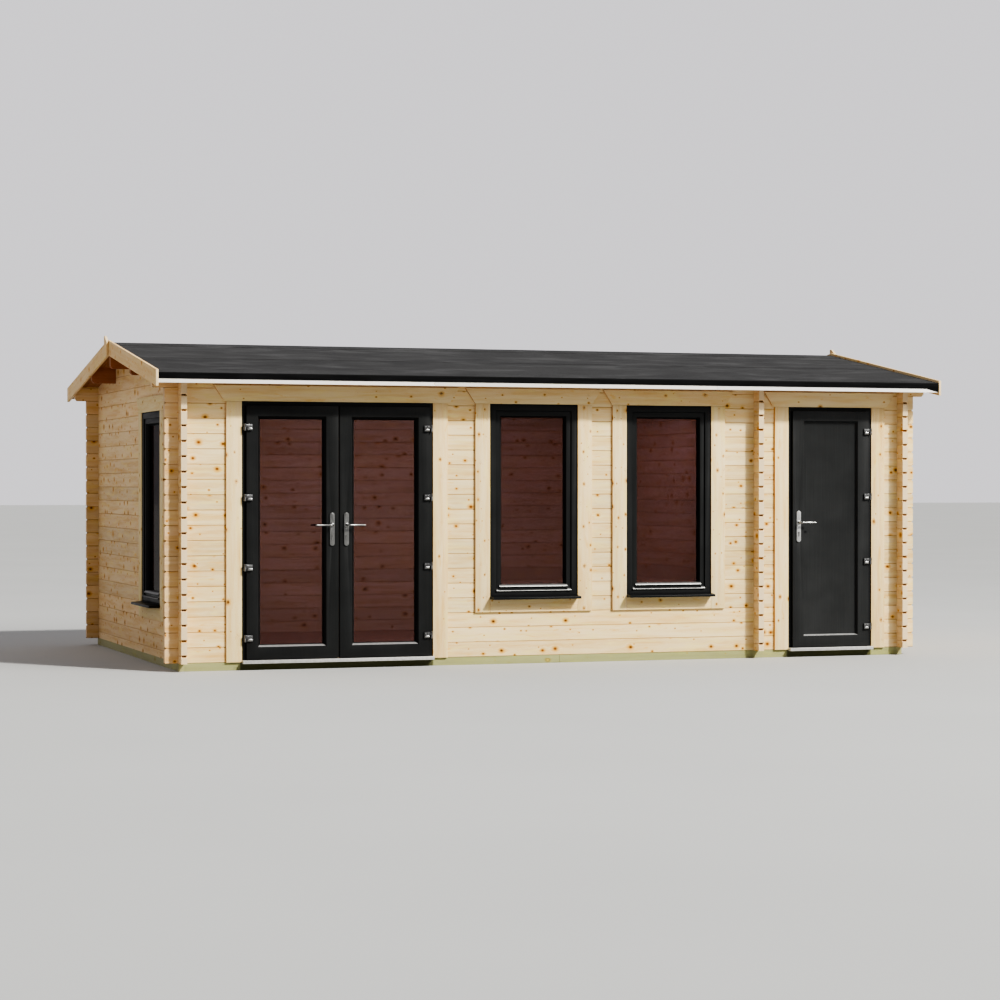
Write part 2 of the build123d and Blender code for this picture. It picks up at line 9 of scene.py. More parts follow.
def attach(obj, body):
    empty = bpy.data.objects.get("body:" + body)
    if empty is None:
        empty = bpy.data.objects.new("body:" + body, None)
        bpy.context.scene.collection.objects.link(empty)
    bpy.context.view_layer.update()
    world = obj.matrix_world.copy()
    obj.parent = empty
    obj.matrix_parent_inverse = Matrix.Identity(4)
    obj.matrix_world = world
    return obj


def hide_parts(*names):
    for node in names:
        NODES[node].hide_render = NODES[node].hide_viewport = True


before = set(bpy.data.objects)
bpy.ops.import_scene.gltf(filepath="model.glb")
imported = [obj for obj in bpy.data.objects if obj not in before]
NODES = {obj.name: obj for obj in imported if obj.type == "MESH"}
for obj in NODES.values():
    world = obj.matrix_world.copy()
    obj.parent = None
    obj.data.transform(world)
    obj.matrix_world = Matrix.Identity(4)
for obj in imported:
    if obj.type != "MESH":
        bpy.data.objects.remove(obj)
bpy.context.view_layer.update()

# ------------------------------------------------------------ shared sizes (m)
# Plan coordinates: x along the front from the left corner, y into the depth from
# the front face, z up.  P() moves them to the row frame.
LEN, DEP, T = 6.010, 3.400, 0.045
HB, COVER = 0.060, 0.114
TAN = 0.162
Z_WALL, ROOF_BOARD, EAVES, FASCIA_T = 2.226, 0.026, 0.232, 0.018
TOP_X0, TOP_X1 = -0.200, LEN + 0.200
MID = DEP / 2
DOOR_TOP = 2.015
TRIM_W, TRIM_T, TRIM_H, EAR, DOOR_EAR = 0.120, 0.018, 0.120, 0.079, 0.015
FR_X0, FR_X1, ST_X0, ST_X1 = 0.479, 1.977, 4.981, 5.723
WIN_W, W1_X0, W2_X0, WIN_Z0, WIN_Z1 = 0.724, 2.441, 3.578, 0.502, 2.015
SW_Y0, SIDE_DROP = 0.611, 0.057
LEVER_Z = 1.084


def P(x, y, z):
    return Vector((x - LEN / 2, y - DEP / 2, z))


def roof_z(y):
    return Z_WALL + TAN * min(y, DEP - y)


def side(v):
    """From the place of front window 1 to the window of the left gable."""
    return Vector((v.y, SW_Y0 + WIN_W - (v.x - W1_X0), v.z - SIDE_DROP))


# ------------------------------------------------------------------ node helper
class Mat:
    def __init__(self, name):
        self.mat = bpy.data.materials.new(name)
        self.mat.use_nodes = True
        self.nt = self.mat.node_tree
        self.b = self.nt.nodes["Principled BSDF"]

    def put(self, socket, value):
        if isinstance(value, bpy.types.NodeSocket):
            self.nt.links.new(value, socket)
        else:
            if hasattr(socket.default_value, "__len__") and len(socket.default_value) == 4 \
                    and len(value) == 3:
                value = (*value, 1.0)
            socket.default_value = value

    def node(self, kind, **props):
        n = self.nt.nodes.new(kind)
        for k, v in props.items():
            setattr(n, k, v)
        return n

    def math(self, op, a, b=0.0, c=0.0, clamp=False):
        n = self.node("ShaderNodeMath", operation=op, use_clamp=clamp)
        for i, v in enumerate((a, b, c)):
            self.put(n.inputs[i], v)
        return n.outputs[0]

    def add(self, a, b): return self.math("ADD", a, b)
    def sub(self, a, b): return self.math("SUBTRACT", a, b)
    def mul(self, a, b): return self.math("MULTIPLY", a, b)

    def ramp(self, x, lo, hi, to0=0.0, to1=1.0, smooth=True):
        n = self.node("ShaderNodeMapRange",
                      interpolation_type="SMOOTHSTEP" if smooth else "LINEAR")
        for i, v in enumerate((x, lo, hi, to0, to1)):
            self.put(n.inputs[i], v)
        return n.outputs[0]

    def vec(self, x, y, z):
        n = self.node("ShaderNodeCombineXYZ")
        for i, v in enumerate((x, y, z)):
            self.put(n.inputs[i], v)
        return n.outputs[0]

    def parts(self, v):
        n = self.node("ShaderNodeSeparateXYZ")
        self.put(n.inputs[0], v)
        return n.outputs[0], n.outputs[1], n.outputs[2]

    def mix(self, f, a, b, blend="MIX"):
        n = self.node("ShaderNodeMix", data_type="RGBA", blend_type=blend)
        self.put(n.inputs[0], f)
        self.put(n.inputs[6], a)
        self.put(n.inputs[7], b)
        return n.outputs[2]

    def noise(self, v, scale=1.0, detail=3.0, rough=0.5, dist=0.0):
        n = self.node("ShaderNodeTexNoise")
        self.put(n.inputs["Vector"], v)
        n.inputs["Scale"].default_value = scale
        n.inputs["Detail"].default_value = detail
        n.inputs["Roughness"].default_value = rough
        n.inputs["Distortion"].default_value = dist
        return n.outputs[0]

    def white(self, v):
        n = self.node("ShaderNodeTexWhiteNoise", noise_dimensions="3D")
        self.put(n.inputs["Vector"], v)
        return n.outputs["Value"], n.outputs["Color"]

    def bump(self, height, dist, strength=1.0):
        n = self.node("ShaderNodeBump")
        self.put(n.inputs["Height"], height)
        n.inputs["Distance"].default_value = dist
        n.inputs["Strength"].default_value = strength
        self.put(self.b.inputs["Normal"], n.outputs[0])

    def coords(self):
        return self.node("ShaderNodeTexCoord")

    def attr(self, name):
        return self.node("ShaderNodeAttribute", attribute_name=name)


# ----------------------------------------------------------------------- timber
def timber(name, along=None, course=None, v0=0.0, pale=(0.785, 0.650, 0.398),
           late=(0.665, 0.435, 0.150), tone=0.13, knots=0.88, cell=(0.165, 0.114),
           knot_col=(0.110, 0.028, 0.005), end_col=(0.77, 0.61, 0.39), rough=0.62,
           painted_shade=None, knot_size=1.15, grain=1.0, centres=(), joint=1.0):
    """Planed softwood: growth bands, fine streaks, knots the grain runs round,
    end grain with rings.  along is the grain axis in object space, or None for
    boards that carry their own grain frame in attributes."""
    m = Mat(name)
    if along is None:
        g = m.attr("grain")
        u, v, w = m.parts(g.outputs["Vector"])
        seed = m.attr("seed").outputs["Fac"]
        end = m.attr("endface").outputs["Fac"]
        idx = m.mul(seed, 91.0)
        vin = m.sub(v, 0.0)
    else:
        tc = m.coords()
        x, y, z = m.parts(tc.outputs["Object"])
        nx, ny, nz = m.parts(tc.outputs["Normal"])
        u, v, w = {"X": (x, z, y), "Y": (y, z, x), "Z": (z, x, y)}[along]
        na = {"X": nx, "Y": ny, "Z": nz}[along]
        end = m.math("GREATER_THAN", m.math("ABSOLUTE", na), 0.75)
        if course:
            k = m.math("FLOOR", m.math("DIVIDE", m.sub(v, v0), course))
            # walls on different sides of the building are different logs
            far = m.math("GREATER_THAN", w, 0.0)
            idx = m.add(m.mul(k, 3.17), m.mul(far, 55.5))
            vin = m.sub(m.sub(v, v0), m.mul(k, course))
        else:
            idx = m.math("FLOOR", m.math("DIVIDE", w, 0.4))
            vin = v
    r1, rc = m.white(m.vec(idx, m.mul(idx, 0.37), 2.5))
    ra, rb, rd = m.parts(rc)
    uo = m.add(u, m.mul(ra, 40.0))
    # knots, one at most in a cell
    vor = m.node("ShaderNodeTexVoronoi", voronoi_dimensions="2D", feature="F1")
    vor.inputs["Scale"].default_value = 1.0
    vor.inputs["Randomness"].default_value = 0.92
    ku = m.mul(uo, 1.0 / cell[0])
    kv = m.mul(m.add(v, m.mul(rb, 7.0)), 1.0 / cell[1])
    m.put(vor.inputs["Vector"], m.vec(ku, kv, 0.0))
    pu, pv, _ = m.parts(vor.outputs["Position"])
    cr, cg, cb = m.parts(vor.outputs["Color"])
    du = m.mul(m.sub(ku, pu), cell[0])
    dv = m.mul(m.sub(kv, pv), cell[1])
    has = m.math("LESS_THAN", cr, knots)
    rad = m.mul(m.ramp(m.math("POWER", cg, 2.5), 0.0, 1.0, 0.0028, 0.0125, False), knot_size)
    wob = m.noise(m.vec(m.mul(ku, 5.0), m.mul(kv, 5.0), 0.0), 1.0, 2.0)
    d = m.math("SQRT", m.add(m.mul(m.mul(du, du), 0.62), m.mul(dv, dv)))
    d = m.add(d, m.mul(m.sub(wob, 0.5), 0.004))
    q = m.math("DIVIDE", d, rad)
    core = m.mul(has, m.ramp(q, 0.30, 0.92, 1.0, 0.0))
    rim = m.mul(has, m.mul(m.ramp(q, 0.55, 0.8, 0.0, 1.0), m.ramp(q, 0.8, 1.1, 1.0, 0.0)))
    halo = m.mul(has, m.ramp(q, 0.7, 2.2, 1.0, 0.0))
    # the grain runs round the knots
    pull = m.mul(m.mul(has, m.ramp(q, 1.0, 4.5, 0.75, 0.0)), dv)
    vg = m.sub(v, pull)
    big = m.noise(m.vec(m.mul(uo, 0.55), m.mul(vg, 9.0), m.mul(w, 9.0)), 1.0, 2.0, 0.5, 0.35)
    ring = m.math("SINE", m.add(m.mul(m.add(vg, m.mul(w, 0.45)), 820.0), m.mul(big, 26.0)))
    ring = m.ramp(ring, -0.2, 1.0)
    fine = m.noise(m.vec(m.mul(uo, 3.2), m.mul(vg, 330.0), m.mul(w, 330.0)), 1.0, 4.0, 0.65)
    mott = m.noise(m.vec(m.mul(uo, 1.9), m.mul(vg, 24.0), m.mul(w, 24.0)), 1.0, 3.0, 0.55)
    f = m.add(m.mul(ring, 0.30), m.add(m.mul(m.sub(fine, 0.40), 0.55), m.mul(m.sub(mott, 0.46), 2.1)))
    f = m.math("MULTIPLY", f, grain, clamp=True)
    col = m.mix(f, pale, late)
    # tone of the single log or board
    lift = m.ramp(r1, 0.0, 1.0, 1.0 - tone, 1.0 + tone * 0.5, False)
    col = m.mix(m.ramp(rd, 0.35, 1.0, 0.0, 0.5), col, m.mix(1.0, col, (1.0, 0.90, 0.80), "MULTIPLY"))
    hsv = m.node("ShaderNodeHueSaturation")
    m.put(hsv.inputs["Color"], col)
    m.put(hsv.inputs["Value"], lift)
    col = hsv.outputs[0]
    # resin rich streaks and warm patches
    patch = m.noise(m.vec(m.mul(uo, 3.4), m.mul(vg, 17.0), m.mul(w, 17.0)), 1.0, 3.0, 0.6, 0.4)
    col = m.mix(m.mul(m.ramp(patch, 0.50, 0.70), 0.60 * min(grain, 1.0)), col,
                tuple(c * k for c, k in zip(pale, (1.0, 1.01, 0.76))))
    col = m.mix(m.mul(m.ramp(patch, 0.30, 0.48, 1.0, 0.0), 0.35 * min(grain, 1.0)), col,
                tuple(c * k for c, k in zip(pale, (1.0, 0.98, 1.06))))
    amber = m.noise(m.vec(m.mul(uo, 6.0), m.mul(vg, 26.0), m.mul(w, 26.0)), 1.0, 3.0, 0.6, 0.6)
    col = m.mix(m.mul(m.ramp(amber, 0.60, 0.74), 0.55 * min(grain, 1.0)), col,
                tuple(c * k for c, k in zip(late, (1.10, 1.02, 0.70))))
    col = m.mix(m.mul(halo, 0.78), col, tuple(c * k for c, k in zip(late, (1.02, 0.84, 0.42))))
    small = m.ramp(cg, 0.35, 0.75, 1.0, 0.0)
    kc = m.mix(m.mul(m.add(small, cb), 0.5), knot_col, tuple(c * k for c, k in zip(knot_col, (3.0, 3.6, 3.0))))
    col = m.mix(m.mul(core, 0.96), col, kc)
    col = m.mix(m.mul(rim, 0.22), col, tuple(c * 0.55 for c in knot_col))
    if course:
        # the joint between two logs, darker where dust and shade gather
        jd = m.math("MINIMUM", vin, m.sub(course, vin))
        gap = m.noise(m.vec(m.mul(uo, 2.6), m.mul(idx, 1.7), 0.0), 1.0, 3.0, 0.6)
        line = m.mul(m.ramp(jd, 0.0014, 0.0042, 1.0, 0.0), m.ramp(gap, 0.32, 0.66, 0.26 * joint, 0.80 * joint, False))
        col = m.mix(line, col, tuple(c * k for c, k in zip(late, (0.62, 0.52, 0.42))))
    # end grain
    a, b = m.sub(vin, m.mul(rb, 0.06)), m.sub(w, m.mul(rd, 0.05))
    er = m.math("SQRT", m.add(m.mul(a, a), m.mul(b, b)))
    er = m.math("SINE", m.add(m.mul(er, 1500.0), m.mul(big, 5.0)))
    ecol = m.mix(m.ramp(er, -0.6, 1.0, 0.0, 0.55), end_col, tuple(c * 0.74 for c in end_col))
    ecol = m.mix(m.mul(fine, 0.3), ecol, tuple(c * 0.8 for c in end_col))
    if course and centres:
        # tongue and groove at the log ends: painted shade, dark marks where the slots lie in shade
        dw = None
        for c in centres:
            q1 = m.math("ABSOLUTE", m.sub(w, c))
            dw = q1 if dw is None else m.math("MINIMUM", dw, q1)
        slot = m.mul(m.ramp(m.math("MINIMUM", vin, m.sub(course, vin)), 0.0056, 0.0084, 1.0, 0.0),
                     m.ramp(dw, 0.0150, 0.0185, 1.0, 0.0))
        slot_shade = m.mul(m.mul(slot, m.math("GREATER_THAN", m.math("ABSOLUTE", na), 0.3)), 0.92)
        col = m.mix(end, col, ecol)
        col = m.mix(slot_shade, col, (0.140, 0.048, 0.014))
    else:
        col = m.mix(end, col, ecol)
    # painted shade: where the mask function gives 1, the colour is multiplied by a darker tint
    if painted_shade:
        sx, sy, sz = m.parts(m.coords().outputs["Object"])
        col = m.mix(painted_shade[0](m, sx, sy, sz), col, m.mix(1.0, col, painted_shade[1], "MULTIPLY"))
    m.put(m.b.inputs["Base Color"], col)
    m.put(m.b.inputs["Roughness"], m.ramp(m.add(fine, m.mul(core, -0.6)), 0.0, 1.0,
                                          rough - 0.12, rough + 0.14, False))
    m.b.inputs["Specular IOR Level"].default_value = 0.22
    h = m.add(m.mul(fine, 0.5), m.add(m.mul(ring, 0.35), m.mul(core, -0.5)))
    m.bump(h, 0.0007, 0.55)
    return m.mat


# ------------------------------------------------------------- other materials
def joinery(name, base=(0.0150, 0.0156, 0.0158), lighter=(0.0235, 0.0245, 0.0248), rough=0.42):
    """Dark factory finish over timber: faint grain under the paint."""
    m = Mat(name)
    tc = m.coords()
    x, y, z = m.parts(tc.outputs["Object"])
    nx, ny, nz = m.parts(tc.outputs["Normal"])
    streak = m.noise(m.vec(m.mul(x, 210.0), m.mul(y, 210.0), m.mul(z, 2.4)), 1.0, 4.0, 0.62)
    cloud = m.noise(tc.outputs["Object"], 5.0, 3.0, 0.5)
    peel = m.noise(tc.outputs["Object"], 900.0, 1.0, 0.5)
    f = m.math("ADD", m.mul(m.sub(streak, 0.38), 1.1), m.mul(m.sub(cloud, 0.45), 0.7), clamp=True)
    m.put(m.b.inputs["Base Color"], m.mix(f, base, lighter))
    m.put(m.b.inputs["Roughness"], m.ramp(cloud, 0.2, 0.8, rough - 0.05, rough + 0.09, False))
    m.b.inputs["Specular IOR Level"].default_value = 0.24
    m.bump(m.add(m.mul(streak, 0.8), m.mul(peel, 0.25)), 0.0004, 0.5)
    return m.mat


def felt(name, base=(0.040, 0.040, 0.0405), hi=(0.072, 0.072, 0.073), lo=(0.027, 0.027, 0.028),
         rough=0.85, spec=0.25):
    """Mineral felt: coarse granules, cloudy wear, laid in sheets."""
    m = Mat(name)
    p = m.coords().outputs["Object"]
    gran = m.node("ShaderNodeTexVoronoi")
    gran.inputs["Scale"].default_value = 520.0
    m.put(gran.inputs["Vector"], p)
    gr, gg, gb = m.parts(gran.outputs["Color"])
    cloud = m.noise(p, 1.7, 4.0, 0.55, 0.6)
    x, y, z = m.parts(p)
    wipe = m.noise(m.vec(m.mul(x, 2.2), m.mul(y, 5.5), m.mul(z, 5.5)), 1.0, 5.0, 0.6, 0.5)
    sheet = m.attr("seed").outputs["Fac"]
    col = m.mix(m.ramp(cloud, 0.32, 0.68), lo, base)
    col = m.mix(m.ramp(wipe, 0.45, 0.78), col, hi)
    col = m.mix(m.mul(gr, 0.55), col, m.mix(gg, (0.012, 0.012, 0.0125), (0.105, 0.105, 0.107)))
    hsv = m.node("ShaderNodeHueSaturation")
    m.put(hsv.inputs["Color"], col)
    m.put(hsv.inputs["Value"], m.ramp(sheet, 0.0, 1.0, 0.90, 1.08, False))
    m.put(m.b.inputs["Base Color"], hsv.outputs[0])
    m.put(m.b.inputs["Roughness"], m.ramp(wipe, 0.3, 0.8, rough + 0.08, rough - 0.12, False))
    m.b.inputs["Specular IOR Level"].default_value = spec
    m.bump(m.add(gran.outputs["Distance"], m.mul(wipe, 3.0)), 0.0012, 0.7)
    return m.mat


def black_edge(name):
    m = Mat(name)
    p = m.coords().outputs["Object"]
    x, y, z = m.parts(p)
    n = m.noise(m.vec(m.mul(x, 3.0), m.mul(y, 40.0), m.mul(z, 40.0)), 1.0, 4.0, 0.6)
    m.put(m.b.inputs["Base Color"], m.mix(m.ramp(n, 0.35, 0.75), (0.0022, 0.0022, 0.0024),
                                          (0.010, 0.010, 0.011)))
    m.put(m.b.inputs["Roughness"], m.ramp(n, 0.2, 0.8, 0.55, 0.75, False))
    m.b.inputs["Specular IOR Level"].default_value = 0.12
    m.bump(n, 0.0008, 0.4)
    return m.mat


def metal(name, base=(0.32, 0.32, 0.315), rough=0.30, metallic=1.0, axis="Z", dull=()):
    """Satin hardware, brushed along one axis."""
    m = Mat(name)
    p = m.coords().outputs["Object"]
    x, y, z = m.parts(p)
    k = {"X": (30.0, 900.0, 900.0), "Z": (900.0, 900.0, 30.0)}[axis]
    brush = m.noise(m.vec(m.mul(x, k[0]), m.mul(y, k[1]), m.mul(z, k[2])), 1.0, 3.0, 0.6)
    cloud = m.noise(p, 45.0, 3.0, 0.55)
    col = m.mix(m.ramp(cloud, 0.3, 0.75), base, tuple(c * 0.80 for c in base))
    for c, h in dull:
        # hinge blocks are a darker cast metal than the plates
        k = m.math("LESS_THAN", m.math("ABSOLUTE", m.sub(x, c)), h)
        col = m.mix(k, col, m.mix(cloud, (0.235, 0.236, 0.238), (0.150, 0.150, 0.152)))
    m.put(m.b.inputs["Base Color"], col)
    m.b.inputs["Metallic"].default_value = metallic
    m.put(m.b.inputs["Roughness"], m.ramp(m.add(m.mul(brush, 0.6), m.mul(cloud, 0.4)), 0.25, 0.75,
                                          rough - 0.06, rough + 0.12, False))
    m.bump(brush, 0.00008, 0.35)
    return m.mat


def matte_black(name):
    m = Mat(name)
    p = m.coords().outputs["Object"]
    n = m.noise(p, 60.0, 3.0, 0.5)
    m.put(m.b.inputs["Base Color"], m.mix(n, (0.006, 0.006, 0.0065), (0.016, 0.016, 0.017)))
    m.put(m.b.inputs["Roughness"], m.ramp(n, 0.2, 0.8, 0.55, 0.75, False))
    m.b.inputs["Specular IOR Level"].default_value = 0.2
    m.bump(n, 0.0002, 0.3)
    return m.mat


def glass(name, tint=(0.49, 0.439, 0.571), gloss=0.030, rough=0.04):
    """Bronze tinted pane: a clear tint with a faint gloss on top."""
    m = Mat(name)
    p = m.coords().outputs["Object"]
    x, y, z = m.parts(p)
    n = m.noise(m.vec(m.mul(x, 1.3), m.mul(y, 1.3), m.mul(z, 0.9)), 1.0, 2.0, 0.5)
    film = m.noise(m.vec(m.mul(x, 9.0), m.mul(y, 9.0), m.mul(z, 3.0)), 1.0, 3.0, 0.55)
    clear = m.node("ShaderNodeBsdfTransparent")
    lw = m.node("ShaderNodeLayerWeight")
    lw.inputs["Blend"].default_value = 0.5
    body = m.mix(n, tint, tuple(c * 0.93 for c in tint))
    m.put(clear.inputs["Color"], m.mix(m.ramp(lw.outputs["Facing"], 0.30, 0.68), body,
                                       tuple(c * 0.22 for c in tint)))
    m.put(m.b.inputs["Base Color"], m.mix(n, (0.058, 0.024, 0.018), (0.050, 0.020, 0.015)))
    m.put(m.b.inputs["Roughness"], m.ramp(film, 0.3, 0.75, rough, rough * 2.2, False))
    m.b.inputs["Specular IOR Level"].default_value = 0.5
    m.bump(m.noise(p, 2.0, 1.0), 0.0004, 0.25)
    mx = m.node("ShaderNodeMixShader")
    mx.inputs[0].default_value = gloss * 10
    out = m.nt.nodes["Material Output"]
    m.nt.links.new(clear.outputs[0], mx.inputs[1])
    m.nt.links.new(m.b.outputs[0], mx.inputs[2])
    m.nt.links.new(mx.outputs[0], out.inputs["Surface"])
    return m.mat




def painted_shade_left_ears(m, x, y, z):
    """Crossing ends of the long walls at the left corner, tinted browner as painted shade."""
    return m.math("LESS_THAN", x, -3.006)


# the long walls' ends past the left corner get painted shade, a browner tint
SPRUCE_X = timber("spruce_long_walls", "X", COVER, HB, centres=(-1.6775, 1.6775),
                  knots=0.95, cell=(0.138, 0.114), knot_size=1.32,
                  painted_shade=(painted_shade_left_ears, (1.0, 0.90, 0.88)))
SPRUCE_Y = timber("spruce_cross_walls", "Y", COVER, HB + COVER / 2, centres=(-2.9825, 1.6975, 2.9825),
                  knots=0.80, cell=(0.150, 0.085), joint=0.55, knot_size=1.4,
                  pale=(0.825, 0.632, 0.392), late=(0.680, 0.410, 0.150),
                  knot_col=(0.280, 0.090, 0.018))


def left_face_shade_mask(m, x, y, z):
    """Left side faces of the trims off the left gable, tinted browner and darker as painted shade."""
    nx = m.parts(m.coords().outputs["Normal"])[0]
    return m.mul(m.math("LESS_THAN", nx, -0.8), m.math("GREATER_THAN", x, -2.95))


# painted shade on the trims' left side faces
LEFT_FACE_SHADE = (left_face_shade_mask, (0.80, 0.56, 0.40))
BOARD = timber("spruce_boards", None, knots=0.55, cell=(0.26, 0.075), tone=0.06, painted_shade=LEFT_FACE_SHADE)
BOARD_KNOTTY = timber("spruce_window_trims", None, knots=0.85, cell=(0.17, 0.060), tone=0.06,
                      knot_size=1.0, painted_shade=LEFT_FACE_SHADE)
BARGE = timber("spruce_bargeboards", None, knots=0.85, cell=(0.24, 0.070), tone=0.10,
               pale=(0.800, 0.608, 0.350), late=(0.690, 0.410, 0.160),
               knot_col=(0.340, 0.120, 0.030), knot_size=1.5)
# roof boards, seen only from below: their dark red-brown colour is painted shade of the overhang
ROOF_WOOD = timber("roof_board_timber_painted_shade", None, knots=0.5, cell=(0.35, 0.09), tone=0.10,
                   pale=(0.42, 0.195, 0.095), late=(0.33, 0.13, 0.055),
                   end_col=(0.45, 0.25, 0.13))
FLOOR_WOOD = timber("floor_board_timber", None, knots=0.5, cell=(0.35, 0.11), tone=0.10,
                    pale=(0.50, 0.34, 0.21), late=(0.42, 0.26, 0.145))
EAVES_WOOD = timber("eaves_board_timber", None, knots=0.25, cell=(0.6, 0.09), tone=0.03,
                    pale=(0.845, 0.835, 0.825), late=(0.785, 0.76, 0.735), grain=0.55,
                    end_col=(0.80, 0.74, 0.66))
# purlins: their dark red-brown colour is painted shade of the overhang
BEAM = timber("purlin_timber_painted_shade", "X", None, knots=0.5, cell=(0.4, 0.1),
              pale=(0.39, 0.160, 0.078), late=(0.30, 0.105, 0.045),
              end_col=(0.40, 0.19, 0.09))


def painted_threshold_shadow(m, x, y, z):
    """Painted shadow on the front bearer below the two doors, where the thresholds shade it."""
    a = m.mul(m.ramp(x, -2.545, -2.530), m.ramp(x, -1.030, -1.015, 1.0, 0.0))
    b = m.mul(m.ramp(x, 1.962, 1.978), m.ramp(x, 2.714, 2.730, 1.0, 0.0))
    return m.mul(m.add(a, b), m.math("LESS_THAN", y, -1.6))



# the long bearers carry a painted shadow below the door thresholds
TREATED_X = timber("treated_bearer_long", "X", None, knots=0.55, cell=(0.4, 0.06),
                   pale=(0.375, 0.375, 0.190), late=(0.29, 0.29, 0.135),
                   knot_col=(0.25, 0.17, 0.06), end_col=(0.40, 0.385, 0.20),
                   painted_shade=(painted_threshold_shadow, (0.27, 0.27, 0.25)))
TREATED_Y = timber("treated_bearer_cross", "Y", None, knots=0.55, cell=(0.4, 0.06),
                   pale=(0.46, 0.435, 0.255), late=(0.37, 0.34, 0.175),
                   knot_col=(0.25, 0.17, 0.06), end_col=(0.40, 0.385, 0.20))
DARK = joinery("dark_joinery_finish")
DARK_DOOR = joinery("dark_door_finish", (0.0230, 0.0238, 0.0240), (0.037, 0.0385, 0.039))
SILL = joinery("dark_sill_finish", (0.007, 0.008, 0.009), (0.018, 0.020, 0.021), 0.38)
FELT = felt("roof_felt_mineral")
DRIP = black_edge("felt_turn_down_black")
STEEL = metal("satin_steel", dull=((-2.479, 0.046), (-1.075, 0.046), (2.671, 0.046)))
STEEL_X = metal("satin_steel_levers", axis="X")
ZINC = metal("hinge_zinc", (0.24, 0.24, 0.243), 0.42)
KNUCKLE = metal("hinge_polished", (0.40, 0.40, 0.395), 0.26, 1.0, "X")
# painted shade of the keyways in the lock cylinders
KEYWAY_SHADE = matte_black("lock_keyway_painted_shade")
GASKET_AND_GAP_SHADE = matte_black("glazing_gasket_and_gap_shade")
# painted light: the French doors' satin steel given a brighter base colour for the store door
STEEL_LIT = metal("satin_steel_store_painted_light", (0.62, 0.62, 0.61), 0.36, dull=((2.671, 0.046),))
SILLWOOD = metal("threshold_aluminium", (0.62, 0.61, 0.595), 0.42, 0.55, "X")
DOOR_GLASS = glass("door_glass_bronze")
PANE_GLASS = glass("window_glass_bronze", (0.455, 0.402, 0.536))
ALU = metal("weather_bar_aluminium", (0.23, 0.23, 0.226), 0.42, 0.75, "X")
ALU_BEAD = metal("rain_bead_aluminium", (0.62, 0.62, 0.615), 0.40, 0.75, "X")


# -------------------------------------------------------------- mesh helpers
def finish_mesh(name, bm, mat, body, replaces=(), smooth=35.0):
    me = bpy.data.meshes.new(name)
    bm.to_mesh(me)
    bm.free()
    if "custom_normal" in me.attributes:
        me.attributes.remove(me.attributes["custom_normal"])
    me.polygons.foreach_set("use_smooth", [True] * len(me.polygons))
    me.set_sharp_from_angle(angle=math.radians(smooth))
    ob = bpy.data.objects.new(name, me)
    bpy.context.collection.objects.link(ob)
    me.materials.clear()
    me.materials.append(mat)
    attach(ob, body)
    if replaces:
        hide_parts(*replaces)
    return ob


def sharp_bevel(bm, width, segs=2, angle=28.0):
    edges = [e for e in bm.edges if len(e.link_faces) == 2
             and e.calc_face_angle(0.0) > math.radians(angle)]
    if edges and width > 0:
        bmesh.ops.bevel(bm, geom=edges, offset=width, offset_type="OFFSET", segments=segs,
                        profile=0.6, affect="EDGES", clamp_overlap=True)


def from_cad(node, name, mat, body, bevel=0.0015, segs=2):
    """A finished copy of a CAD node: same shape and place, edges eased."""
    bm = bmesh.new()
    bm.from_mesh(NODES[node].data)
    bmesh.ops.remove_doubles(bm, verts=bm.verts, dist=3e-5)
    bmesh.ops.dissolve_limit(bm, angle_limit=math.radians(0.6), verts=bm.verts, edges=bm.edges)
    sharp_bevel(bm, bevel, segs)
    return finish_mesh(name, bm, mat, body, (node,))


